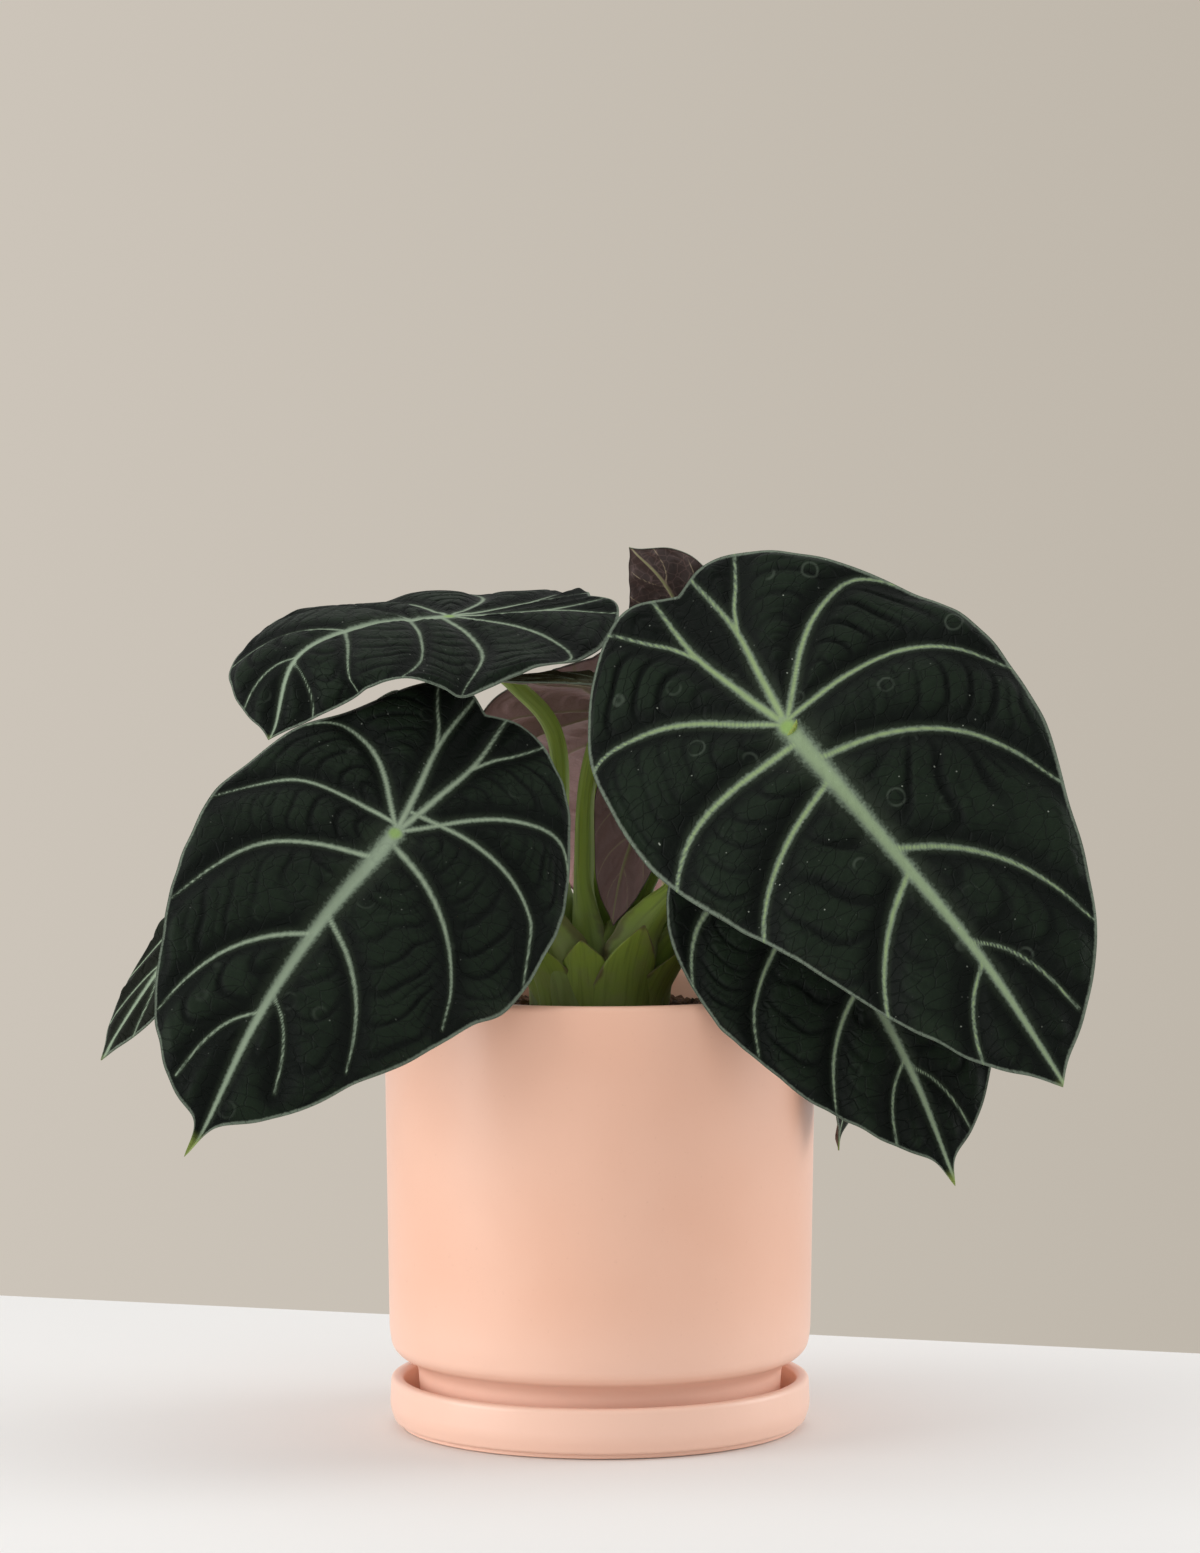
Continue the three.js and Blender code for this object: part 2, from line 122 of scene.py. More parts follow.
# One row per leaf, in millimetres.  length: stalk joint to tip.  facing: where the upper face looks.
# midrib: its five points.  right/left: half outlines; width: their factors; lobe: reach of the base
# lobes.  curl: how strongly each side bends down.  ruffle: size, waves round the margin, start.
# stalk: where it leaves the crown, then points on its way to the blade.  fresh: 0 for a dark grown
# leaf, 1 for a new green one; pale: how pink the underside is; warm: how yellow the veins are;
# marks: water marks and dust.  shift: how far up the midrib the side veins of each half start.
# drip: the curled point at the tip.  detail: share of the mesh grid.
LEAVES = [
    dict(name="right_front", length=134, facing=(-0.1, -0.93, 0.36),
         midrib=[(22, -22, 251), (54, -55, 213), (80, -76, 184), (106, -94, 151), (129, -106, 115)],
         right=SLIM_SIDE, left=FULL_SIDE, width=(1.03, 0.95), lobe=1, curl=(0.6, 0.5), ruffle=(0.012, 9, 0),
         stalk=[(4.5, -5), (8, -4, 150), (18, 0, 172), (28, 0, 190), (41, -19, 206)],
         pale=0.1, fresh=0.0, shift=(0.035, -0.02), drip=0.0, detail=1.0, warm=0.8, marks=1.0),
    dict(name="left_front", length=110, facing=(-0.05, -0.93, 0.36),
         midrib=[(-36, -26, 212), (-59, -55, 182), (-79, -74, 158), (-98, -91, 130), (-113, -104, 100)],
         right=FULL_SIDE, left=FULL_SIDE, width=(0.95, 1.05), lobe=1.12, curl=(0.5, 0.6),
         ruffle=(0.012, 9, 0),
         stalk=[(-8.5, -15), (-14, -17, 145), (-28, -22, 163), (-48, -37, 176)],
         pale=0.1, fresh=0.0, shift=(-0.03, -0.09), drip=0.06, detail=1.0, warm=0.1, marks=0.4),
    dict(name="upper_left", length=86, facing=(-0.05, -0.3, 0.95),
         midrib=[(-2, 30, 248), (-45, 8, 243), (-70, -6, 241), (-90, -19, 231), (-97, -26, 208)],
         right=FULL_SIDE, left=FULL_SIDE, width=(1.04, 1.14), lobe=1, curl=(0.8, 0.55), ruffle=(0.018, 6, 1),
         stalk=[(-12, 12), (-13, 11, 165), (-13, 11, 205), (-26, 10, 223)],
         pale=0.35, fresh=0.0, shift=(0.0, 0.02), drip=0.0, detail=0.85, warm=0.1, marks=0.5),
    dict(name="lower_right", length=104, facing=(0.05, -0.93, 0.34),
         midrib=[(35, -17, 206), (55, -42, 172), (73, -56, 146), (88, -69, 117), (100, -78, 86)],
         right=DROP_SIDE, left=FULL_SIDE, width=(0.93, 0.85), lobe=0.7, curl=(0.1, 0.5), ruffle=(0.012, 9, 0),
         stalk=[(16.2, -5.3), (21, -7, 146), (32, -14, 160), (46, -25, 168)],
         pale=0.1, fresh=0.0, shift=(0.0, 0.02), drip=0.03, detail=0.9, warm=0.5, marks=0.2),
    dict(name="far_left", length=100, facing=(-0.75, -0.6, 0.3),
         midrib=[(-59, 4, 218), (-89, -15, 191), (-109, -28, 168), (-128, -39, 143), (-145, -48, 116)],
         right=FULL_SIDE, left=FULL_SIDE, width=(0.42, 0.55), lobe=1, curl=(1.2, 0.6), ruffle=(0.02, 9, 0),
         stalk=[(-17, 0), (-21, 1, 150), (-42, 3, 180), (-70, -4, 192)],
         pale=0.1, fresh=0.1, shift=(0.0, 0.03), drip=0.0, detail=0.7, warm=0.2, marks=0.2),
    dict(name="right_side", length=72, facing=(0.9, -0.3, 0.3),
         midrib=[(57, 14, 182), (65, 0, 158), (73, -8, 134), (75, -14, 110), (71, -20, 88)],
         right=FULL_SIDE, left=FULL_SIDE, width=(0.8, 0.8), lobe=1, curl=(0.6, 0.6), ruffle=(0.02, 9, 0),
         stalk=[(16.2, 5.3), (21, 7, 143), (34, 7, 154), (50, 5, 157)],
         pale=0.1, fresh=0.15, shift=(0.02, 0.0), drip=0.03, detail=0.6, warm=0.5, marks=0.1),
    dict(name="upright_young", length=58, facing=(0.35, 0.93, 0.1),
         midrib=[(44, 20, 200), (37, 10, 216), (29, -1, 235), (20, -8, 253), (9, -12, 264)],
         right=FULL_SIDE, left=FULL_SIDE, width=(0.75, 0.75), lobe=1, curl=(0.6, 0.6), ruffle=(0.02, 9, 0),
         stalk=[(10.5, 13.4), (14, 13, 165), (27, 9, 195), (34, 5, 210)],
         pale=0.0, fresh=0.0, shift=(0.0, 0.02), drip=0.0, detail=0.6, warm=0.3, marks=0.0),
    dict(name="back", length=124, facing=(0.05, 0.85, 0.5),
         midrib=[(-4, 12, 234), (6, 34, 214), (14, 66, 196), (20, 94, 166), (24, 110, 128)],
         right=FULL_SIDE, left=FULL_SIDE, width=(0.95, 0.95), lobe=0.85, curl=(0.6, 0.6), ruffle=(0.02, 9, 0),
         stalk=[(-0.6, 17), (-3, 17, 150), (-3, 20, 185), (2, 26, 203)],
         pale=1.0, fresh=0.0, shift=(0.02, -0.02), drip=0.0, detail=0.9, warm=0.3, marks=0.4),
    dict(name="young_hanging", length=48, facing=(0.35, 0.93, 0),
         midrib=[(18, 6, 214), (14, 2, 196), (11, -5, 182), (7, -10, 168), (4, -14, 152)],
         right=FULL_SIDE, left=FULL_SIDE, width=(0.6, 0.6), lobe=0.6, curl=(0.8, 0.8), ruffle=(0.01, 9, 0),
         stalk=[(8, -15), (13, -18, 150), (25, -20, 168), (21, -16, 186)],
         pale=0.62, fresh=0.3, shift=(0.0, 0.02), drip=0.0, detail=0.5, warm=0.6, marks=0.0),
    dict(name="unrolling", length=46, facing=(0, -0.25, 0.97),
         midrib=[(22, 3, 219), (9, -1, 222), (-3, -6, 224), (-17, -11, 225), (-31, -16, 225)],
         right=FULL_SIDE, left=FULL_SIDE, width=(0.35, 0.35), lobe=1, curl=(-2, -2), ruffle=(0.01, 9, 0),
         stalk=[(-5.5, -4), (-5, 1, 160), (-4, 6, 192), (1, 4, 211)],
         pale=0.1, fresh=1.0, shift=(0.0, 0.0), drip=0.0, detail=0.5, warm=0.8, marks=0.0),
]
# Old leaf bases round the crown: direction in degrees, height and half width in millimetres, lean.
BRACTS = [
    (-102, 25, 13, 0.35), (-68, 30, 12, 0.5), (-138, 28, 12, 0.5), (-32, 25, 12, 0.55), (10, 27, 11, 0.45),
    (52, 24, 12, 0.45), (92, 28, 11, 0.5), (134, 25, 12, 0.45), (176, 26, 11, 0.55),
]
STALK_SEAT = 5 * MM  # how far a stalk is seated in the crown
STALK_END = 0.9 * MM  # end of a stalk below the middle of its blade
STALK_TURN = 6 * MM  # last point that a stalk passes before its end, below the middle of its blade
STALK_RADII = (4.2, 2.3)  # foot and top, in millimetres
STALK_FLARE = 1.4 * MM  # extra radius where a stalk meets its blade
BRACT_SKIN = 1.0 * MM
BRACT_SEAT = 5 * MM  # foot of the leaf bases below the crown's top
RIB_BLADE = 134 * MM  # length of the blade that the ribs' heights are for
LEAST_SPOKES, LEAST_RINGS = 40, 24

# Studio.  Lamps: name, place, diameter in metres, power in watts.
LAMPS = [
    ("left_window", (-1.2, -0.45, 0.34), 0.9, 9.5),
    ("right_rim", (1.1, 0.15, 0.4), 0.8, 5.0),
    ("ceiling", (-0.1, 0.1, 1.35), 1.2, 3.0),
]
LAMP_AIM = (0, 0, 0.12)
TABLE_CORNERS = [(-0.8, -0.8), (0.6, -0.8), (0.6, 0.004), (-0.8, 0.423)]
TABLE_LEVELS = (-0.02, -0.2 * MM)  # underside and top
WALL_TURN = (-0.12, 0.12)  # sines from straight ahead between which the painted light on the wall fades from the left colour to the right one
CAMERA_PLACE = (0, -1.5, 0.274)
CAMERA_AIM = (0, 0, 0.1955)
CAMERA_SENSOR, CAMERA_LENS = 36.0, 115.9  # millimetres
CAMERA_RANGE = (0.01, 20.0)


# ---------------------------------------------------------------------------------------------
# Curves and meshes


def through(points, t):
    """Points of the Catmull-Rom curve through the given points, at t counted in whole spans."""
    points = np.asarray(points, float)
    last = len(points) - 1
    t = np.clip(np.asarray(t, float), 0, last)
    k = np.minimum(t.astype(int), last - 1)
    w = (t - k)[..., None]
    padded = np.vstack([2 * points[0] - points[1], points, 2 * points[-1] - points[-2]])
    p0, p1, p2, p3 = padded[k], padded[k + 1], padded[k + 2], padded[k + 3]
    leave, arrive = (p2 - p0) / 2, (p3 - p1) / 2
    return (
        (2 * p1 - 2 * p2 + leave + arrive) * w**3
        + (3 * p2 - 3 * p1 - 2 * leave - arrive) * w**2
        + leave * w
        + p1
    )


def unit(v):
    return v / np.maximum(np.linalg.norm(v, axis=-1, keepdims=True), 1e-12)


def smooth(low, high, x):
    """0 below low, 1 above high, eased in between."""
    t = np.clip((x - low) / (high - low), 0, 1)
    return t * t * (3 - 2 * t)


def even(points, count):
    """The polyline resampled to so many points at even distances."""
    steps = np.concatenate([[0], np.cumsum(np.linalg.norm(np.diff(points, axis=0), axis=1))])
    at = np.linspace(0, steps[-1], count)
    return np.stack([np.interp(at, steps, points[:, i]) for i in range(points.shape[1])], axis=-1)


def wobble(p, scale, seed):
    """Smooth noise between about -1 and 1: five sines in seeded directions, added up."""
    rng = np.random.default_rng(seed)
    total = np.zeros(p.shape[:-1])
    for _ in range(5):
        direction = unit(rng.normal(size=p.shape[-1]))
        total += np.sin(p @ direction * scale * rng.uniform(0.6, 1.7) + rng.uniform(0, 6.3))
    return total / 3


def grid_faces(rows, columns, start=0, closed=True):
    """Quads of a grid of rows x columns; closed joins the last column to the first."""
    r = np.arange(rows - 1)[:, None]
    c = np.arange(columns if closed else columns - 1)[None, :]
    following = (c + 1) % columns
    quads = [r * columns + c, r * columns + following, (r + 1) * columns + following, (r + 1) * columns + c]
    return start + np.stack(np.broadcast_arrays(*quads), axis=-1).reshape(-1, 4)


def fan(centre, ring, flip=False):
    """Triangles from one vertex to a closed ring of vertices."""
    following = np.roll(ring, -1)
    middle = np.full(len(ring), centre)
    return np.stack([middle, following, ring] if flip else [middle, ring, following], axis=-1)


def build(name, vertices, quads, triangles, materials, indices=None, attributes=None):
    """A smooth mesh object from arrays of vertices, quads and triangles, facing outwards."""
    quads = np.asarray(quads, np.int32).reshape(-1, 4)
    triangles = np.asarray(triangles, np.int32).reshape(-1, 3)
    mesh = bpy.data.meshes.new(name)
    loops = np.concatenate([quads.ravel(), triangles.ravel()])
    mesh.vertices.add(len(vertices))
    mesh.vertices.foreach_set("co", np.asarray(vertices, np.float32).ravel())
    mesh.loops.add(len(loops))
    mesh.loops.foreach_set("vertex_index", loops)
    mesh.polygons.add(len(quads) + len(triangles))
    starts = np.concatenate([np.arange(len(quads)) * 4, 4 * len(quads) + np.arange(len(triangles)) * 3])
    mesh.polygons.foreach_set("loop_start", starts.astype(np.int32))
    for material in materials:
        mesh.materials.append(material)
    if indices is not None:
        mesh.polygons.foreach_set("material_index", np.asarray(indices, np.int32))
    mesh.update(calc_edges=True)
    mesh.validate()
    for key, values in (attributes or {}).items():
        values = np.asarray(values, np.float32)
        kind = "FLOAT" if values.ndim == 1 else "FLOAT_VECTOR"
        field = "value" if values.ndim == 1 else "vector"
        mesh.attributes.new(key, kind, "POINT").data.foreach_set(field, values.ravel())
    mesh.shade_smooth()
    piece = bpy.data.objects.new(name, mesh)
    bpy.context.scene.collection.objects.link(piece)
    return piece


def fit(piece, slot, *nodes):
    """Ties a finished piece to the part: parents it to the root body and hides the nodes it stands for; slot
    is not used.
    """
    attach(piece, "root")
    if nodes:
        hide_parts(*nodes)


def turned(name, profile, material, segments=192):
    """The profile turned about Z: each point (r, z) becomes a ring of radius r at height z.

    A profile that starts and ends on the axis is closed there by single points; any other is
    joined to itself.
    """
    profile = np.asarray(profile, float)
    on_axis = profile[0, 0] < 1e-9
    rings = profile[1:-1] if on_axis else profile
    angle = np.linspace(0, 2 * np.pi, segments, endpoint=False)
    r, z = rings[:, 0][:, None], rings[:, 1][:, None]
    shell = np.stack([r * np.cos(angle), r * np.sin(angle), z + 0 * angle], axis=-1).reshape(-1, 3)
    quads = grid_faces(len(rings), segments)
    triangles = []
    first, last = np.arange(segments), (len(rings) - 1) * segments + np.arange(segments)
    if on_axis:
        low, high = len(shell), len(shell) + 1
        shell = np.vstack([shell, [0, 0, profile[0, 1]], [0, 0, profile[-1, 1]]])
        triangles = np.vstack([fan(low, first, flip=True), fan(high, last)])
    else:
        wrap = np.stack([last, np.roll(last, -1), np.roll(first, -1), first], axis=-1)
        quads = np.vstack([quads, wrap])
    return build(name, shell, quads, triangles, [material])


def rounded(corners, radius, steps):
    """The polyline with every inner corner cut by a curve that starts one radius away from it."""
    corners = np.asarray(corners, float)
    before, here, after = corners[:-2], corners[1:-1], corners[2:]
    back, on = before - here, after - here
    length_back, length_on = np.linalg.norm(back, axis=1), np.linalg.norm(on, axis=1)
    cut = np.minimum(radius, 0.45 * np.minimum(length_back, length_on))[:, None]
    start, end = here + unit(back) * cut, here + unit(on) * cut
    t = np.linspace(0, 1, steps)[None, :, None]
    bends = (1 - t) ** 2 * start[:, None] + 2 * t * (1 - t) * here[:, None] + t**2 * end[:, None]
    return np.vstack([corners[:1], bends.reshape(-1, 2), corners[-1:]])


# ---------------------------------------------------------------------------------------------
# Shaders


def linear(red, green, blue):
    """Linear colour from a display colour in steps of 0 to 255."""
    parts = np.array([red, green, blue]) / 255
    low, high = parts / 12.92, ((parts + 0.055) / 1.055) ** 2.4
    return tuple(float(v) for v in np.where(parts <= 0.04045, low, high))


class Term:
    """A value inside a shader that adds, multiplies and compares like a number."""

    def __init__(self, shader, socket):
        self.shader = shader
        self.socket = socket

    def apply(self, operation, *others, clamp=False):
        node = self.shader.node("ShaderNodeMath", dict(operation=operation, use_clamp=clamp))
        for i, value in enumerate((self,) + others):
            self.shader.put(node.inputs[i], value)
        return Term(self.shader, node.outputs[0])

    def __add__(self, other):
        return self.apply("ADD", other)

    __radd__ = __add__

    def __sub__(self, other):
        return self.apply("SUBTRACT", other)

    def __rsub__(self, other):
        return (self * -1).apply("ADD", other)

    def __mul__(self, other):
        return self.apply("MULTIPLY", other)

    __rmul__ = __mul__

    def clamped(self):
        """The value held between 0 and 1."""
        return self.apply("ADD", 0, clamp=True)

    def step(self, low, high):
        """0 below low, 1 above high, eased in between."""
        node = self.shader.node("ShaderNodeMapRange", dict(interpolation_type="SMOOTHSTEP"))
        self.shader.put(node.inputs["Value"], self)
        self.shader.put(node.inputs["From Min"], low)
        self.shader.put(node.inputs["From Max"], high)
        return Term(self.shader, node.outputs[0])


class Nodes:
    """A node tree that is filled by short calls."""

    def __init__(self, tree):
        self.tree = tree

    def put(self, socket, value):
        """Links a Term or a socket to the socket, or sets a plain value on it."""
        if isinstance(value, Term):
            self.tree.links.new(value.socket, socket)
        elif isinstance(value, bpy.types.NodeSocket):
            self.tree.links.new(value, socket)
        elif isinstance(value, tuple) and socket.type == "RGBA":
            socket.default_value = (*value[:3], 1)
        else:
            socket.default_value = value

    def node(self, kind, settings=None, **inputs):
        """A node of the given type, with its settings made first and its sockets filled after."""
        node = self.tree.nodes.new(kind)
        for key, value in (settings or {}).items():
            setattr(node, key, value)
        for key, value in inputs.items():
            self.put(node.inputs[key.replace("_", " ")], value)
        return node

    def mix(self, factor, first, second):
        """The first colour where the factor is 0, the second where it is 1."""
        node = self.node("ShaderNodeMix", dict(data_type="RGBA"))
        self.put(node.inputs[0], factor)
        self.put(node.inputs[6], first)
        self.put(node.inputs[7], second)
        return node.outputs[2]


class Shader(Nodes):
    """One node material that ends in a Principled shader."""

    def __init__(self, name, **fixed):
        self.material = bpy.data.materials.new(name)
        self.material.use_nodes = True
        super().__init__(self.material.node_tree)
        self.surface = self.tree.nodes["Principled BSDF"]
        for key, value in fixed.items():
            self.put(self.surface.inputs[key.replace("_", " ")], value)

    def attribute(self, name):
        """A value of the mesh."""
        return Term(self, self.node("ShaderNodeAttribute", dict(attribute_name=name)).outputs["Fac"])

    def vector(self, name):
        """A vector of the mesh."""
        return self.node("ShaderNodeAttribute", dict(attribute_name=name)).outputs["Vector"]

    def place(self):
        """The object's own coordinates, in metres."""
        return self.node("ShaderNodeTexCoord").outputs["Object"]

    def noise(self, where, scale, detail=3.0, rough=0.5):
        """Clouds between 0 and 1, so many to the metre."""
        inputs = dict(Vector=where, Scale=scale, Detail=detail, Roughness=rough)
        return Term(self, self.node("ShaderNodeTexNoise", None, **inputs).outputs[0])

    def cells(self, where, scale, feature="F1"):
        """Distance inside scattered cells, so many to the metre."""
        node = self.node("ShaderNodeTexVoronoi", dict(feature=feature), Vector=where, Scale=scale)
        return Term(self, node.outputs["Distance"])

    def stretched(self, where, x, y, z):
        """Coordinates with each axis multiplied."""
        node = self.node("ShaderNodeVectorMath", dict(operation="MULTIPLY"))
        self.put(node.inputs[0], where)
        node.inputs[1].default_value = (x, y, z)
        return node.outputs[0]

    def bump(self, height, distance, strength, under=None):
        """A bumped normal, on top of another one if that is given."""
        node = self.node("ShaderNodeBump", None, Height=height, Distance=distance, Strength=strength)
        if under is not None:
            self.put(node.inputs["Normal"], under)
        return node.outputs[0]

    def finish(self, color, roughness, normal=None):
        """Links what varies over the surface and gives the material."""
        self.put(self.surface.inputs["Base Color"], color)
        self.put(self.surface.inputs["Roughness"], roughness)
        if normal is not None:
            self.put(self.surface.inputs["Normal"], normal)
        return self.material


def glaze_material(settings):
    """Peach glaze: almost even, with painted light that makes it paler towards the foot, and a fine
    orange-peel skin.
    """
    shader = Shader("peach_glaze", Coat_Weight=0.32, Coat_Roughness=0.25, IOR=1.45)
    where = shader.place()
    cloud = shader.noise(where, 22.0, 2.0)
    speck = shader.noise(where, 900.0, 2.0)
    color = shader.mix(cloud.step(0.3, 0.7), tuple(settings.glaze_deep), tuple(settings.glaze))
    color = shader.mix(speck.step(0.66, 0.8) * 0.12, color, linear(190, 130, 100))
    # Painted light: from 5 cm down to 1 cm above the floor, the glaze is mixed up to halfway towards a pale
    # lit colour, for light thrown up from the floor.
    split = shader.node("ShaderNodeSeparateXYZ", None, Vector=where)
    foot = (Term(shader, split.outputs["Z"]) * -1).step(-0.05, -0.01)
    color = shader.mix(foot * 0.5, color, linear(250, 214, 197))
    roughness = 0.42 + speck * 0.08
    skin = shader.bump(shader.noise(where, 260.0, 2.0), 0.00012, 0.5)
    return shader.finish(color, roughness, skin)


def upper_material(settings):
    """Velvet upper side: near-black green, with a painted highlight on the quilted swells and painted shade
    along the creases, and silver-green veins.
    """
    shader = Shader(
        "leaf_upper",
        Sheen_Weight=0.018,
        Sheen_Roughness=0.35,
        Sheen_Tint=linear(190, 205, 185),
        Specular_IOR_Level=0.1,
    )
    flat = shader.vector("flat")
    quilt, fresh = shader.attribute("quilt"), shader.attribute("fresh")
    barbs = shader.noise(flat, 900.0, 2.0, 0.6)
    fine = shader.noise(flat, 420.0, 3.0)
    broad = shader.noise(flat, 60.0, 2.0)
    depth = shader.attribute("vein")
    vein = (depth + (barbs - 0.5) * 1.1).step(-0.45, 0.5)
    halo = depth.step(-2.4, 0.2) * 0.13
    push = shader.node("ShaderNodeTexNoise", None, Vector=flat, Scale=150.0)
    bent = shader.node("ShaderNodeVectorMath", dict(operation="MULTIPLY_ADD"))
    shader.put(bent.inputs[0], push.outputs["Color"])
    bent.inputs[1].default_value = (0.004, 0.004, 0.0)
    shader.put(bent.inputs[2], flat)
    net = shader.cells(shader.stretched(bent.outputs[0], 1.0, 1.5, 1.0), 190.0, "DISTANCE_TO_EDGE")
    # Painted shade: dark lines along the creases between the swells, away from the veins; the same mask also
    # dents the bump.
    furrow_shade = (net * -1).step(-0.07, 0.0) * (depth * -1).step(-0.1, 0.8)
    middle = shader.attribute("middle").step(-0.1, 0.8)
    hub = (shader.attribute("hub") + (fine - 0.5) * 0.2).step(0.3, 0.9)
    margin = (shader.attribute("margin") + (barbs - 0.5) * 0.35).step(0.35, 0.75)
    # Painted highlight: the quilted swells, with some random tone from the noise, are mixed from the dark
    # leaf colour towards a lighter one.
    swell = (quilt + (fine - 0.5) * 0.5 + (broad - 0.5) * 0.9).step(0.35, 1.3)
    color = shader.mix(swell, tuple(settings.leaf_dark), tuple(settings.leaf_highlight_and_tone))
    # Painted shade in the creases.
    color = shader.mix(furrow_shade * 0.42, color, linear(6, 10, 7))
    color = shader.mix(fresh * 0.75, color, linear(64, 62, 38))
    color = shader.mix(halo, color, linear(92, 108, 84))
    color = shader.mix(margin * 0.7, color, linear(122, 134, 118))
    core = shader.mix(shader.attribute("warm"), linear(150, 165, 143), linear(140, 163, 108))
    silver = shader.mix(depth.step(0.1, 0.9), tuple(settings.vein), core)
    color = shader.mix(vein * 0.93, color, silver)
    color = shader.mix(vein * middle * 0.5, color, linear(132, 148, 127))
    color = shader.mix(hub * 0.75, color, linear(134, 166, 84))
    color = shader.mix(shader.attribute("tip") * 0.8, color, linear(140, 156, 78))
    rings = shader.cells(flat, 72.0)
    mark = (rings.step(0.15, 0.18) - rings.step(0.19, 0.23)).clamped() * broad.step(0.5, 0.6)
    color = shader.mix(mark * shader.attribute("marks") * 0.32, color, linear(84, 94, 82))
    dust = (shader.cells(flat, 300.0) * -1).step(-0.1, -0.03) * shader.noise(flat, 90.0).step(0.48, 0.62)
    color = shader.mix(dust * shader.attribute("marks") * 0.8, color, linear(160, 166, 154))
    roughness = 0.56 + fine * 0.14 - vein * 0.06
    velvet = shader.bump(shader.noise(flat, 2600.0, 2.0), 0.00012, 0.5)
    pleats = shader.bump(fine - furrow_shade * 0.6, 0.0007, 0.6, under=velvet)
    return shader.finish(color, roughness, pleats)


def under_material(settings):
    """Underside: purple brown, paler and pink along the veins, darkest towards the margin."""
    shader = Shader("leaf_underside", Specular_IOR_Level=0.4, Sheen_Weight=0.05)
    flat = shader.vector("flat")
    fine = shader.noise(flat, 380.0, 3.0)
    broad = shader.noise(flat, 45.0, 2.0)
    vein = (shader.attribute("vein") + (fine - 0.5) * 0.4).step(-0.3, 0.5)
    net = (shader.cells(flat, 330.0, "DISTANCE_TO_EDGE") * -1).step(-0.06, 0.0)
    pale = shader.attribute("pale")
    color = shader.mix(broad.step(0.3, 0.7), tuple(settings.underside), linear(62, 45, 41))
    color = shader.mix(fine.step(0.4, 0.75) * 0.5, color, linear(50, 40, 35))
    color = shader.mix(pale * (0.75 + (broad - 0.5) * 0.6), color, linear(176, 140, 138))
    color = shader.mix(net * 0.3, color, linear(122, 98, 92))
    color = shader.mix(shader.attribute("fresh") * 0.5, color, linear(84, 82, 48))
    color = shader.mix(vein * 0.8, color, linear(142, 128, 104))
    color = shader.mix(vein * shader.attribute("middle").step(0.2, 0.9) * 0.7, color, linear(128, 138, 84))
    color = shader.mix(shader.attribute("margin").step(0.2, 0.8) * 0.7, color, linear(58, 44, 38))
    skin = shader.bump(fine, 0.0006, 0.5)
    return shader.finish(color, 0.46 + fine * 0.12, skin)


def stalk_material(settings):
    """Fleshy green skin with long streaks: olive in the sheath, bright yellow-green above it."""
    shader = Shader("stalk_skin", Specular_IOR_Level=0.45, Subsurface_Weight=0.08, Subsurface_Scale=0.002)
    flat = shader.vector("flat")
    streak = shader.noise(shader.stretched(flat, 1.0, 0.06, 1.0), 900.0, 3.0)
    blotch = shader.noise(flat, 120.0, 3.0)
    up, sheath, edge = shader.attribute("up"), shader.attribute("sheath"), shader.attribute("edge")
    color = shader.mix(up.step(0.0, 0.5), linear(118, 138, 74), tuple(settings.stalk))
    color = shader.mix(up.step(0.6, 1.0) * 0.5, color, linear(142, 158, 84))
    color = shader.mix(streak.step(0.45, 0.7) * 0.4, color, linear(88, 102, 44))
    color = shader.mix(sheath * blotch.step(0.45, 0.65) * 0.45, color, linear(134, 144, 88))
    dry = (edge + (blotch - 0.5) * 0.6).step(0.86, 1.0) * sheath
    color = shader.mix(dry * 0.8, color, linear(92, 78, 50))
    color = shader.mix((up * -1).step(-0.08, 0.0) * 0.5, color, linear(72, 66, 44))
    ribs = shader.bump(streak, 0.0004, 0.6)
    return shader.finish(color, 0.42 + streak * 0.14, ribs)


def crown_material():
    """Rootstock: brown-green fibre in rings."""
    shader = Shader("rootstock_fibre", Specular_IOR_Level=0.25)
    where = shader.place()
    rings = shader.noise(shader.stretched(where, 1.0, 1.0, 6.0), 110.0, 4.0, 0.65)
    fibre = shader.noise(where, 900.0, 2.0)
    color = shader.mix(rings.step(0.35, 0.65), linear(52, 42, 28), linear(88, 84, 50))
    color = shader.mix(fibre.step(0.5, 0.75) * 0.6, color, linear(120, 104, 72))
    return shader.finish(color, 0.8 + fibre * 0.1, shader.bump(rings + fibre * 0.3, 0.0015, 0.8))


def soil_material(settings):
    """Damp mix between the bits: dark brown with paler crumbs."""
    shader = Shader("potting_mix", Specular_IOR_Level=0.3)
    where = shader.place()
    crumb = shader.noise(where, 420.0, 4.0, 0.7)
    clod = shader.noise(where, 70.0, 2.0)
    color = shader.mix(crumb.step(0.35, 0.7), linear(52, 36, 27), tuple(settings.soil))
    color = shader.mix(clod.step(0.5, 0.7) * 0.4, color, linear(70, 50, 36))
    return shader.finish(color, 0.86 + crumb * 0.1, shader.bump(crumb, 0.0016, 0.9))


def bark_material(settings):
    """Bark chips: brown, each one lighter or darker by its own tone."""
    shader = Shader("bark_bits", Specular_IOR_Level=0.3)
    where = shader.place()
    grain = shader.noise(where, 700.0, 3.0, 0.6)
    color = shader.mix(shader.attribute("tone"), linear(50, 34, 25), tuple(settings.soil))
    color = shader.mix(grain.step(0.5, 0.75) * 0.4, color, linear(150, 114, 84))
    return shader.finish(color, 0.8 + grain * 0.12, shader.bump(grain, 0.0006, 0.8))


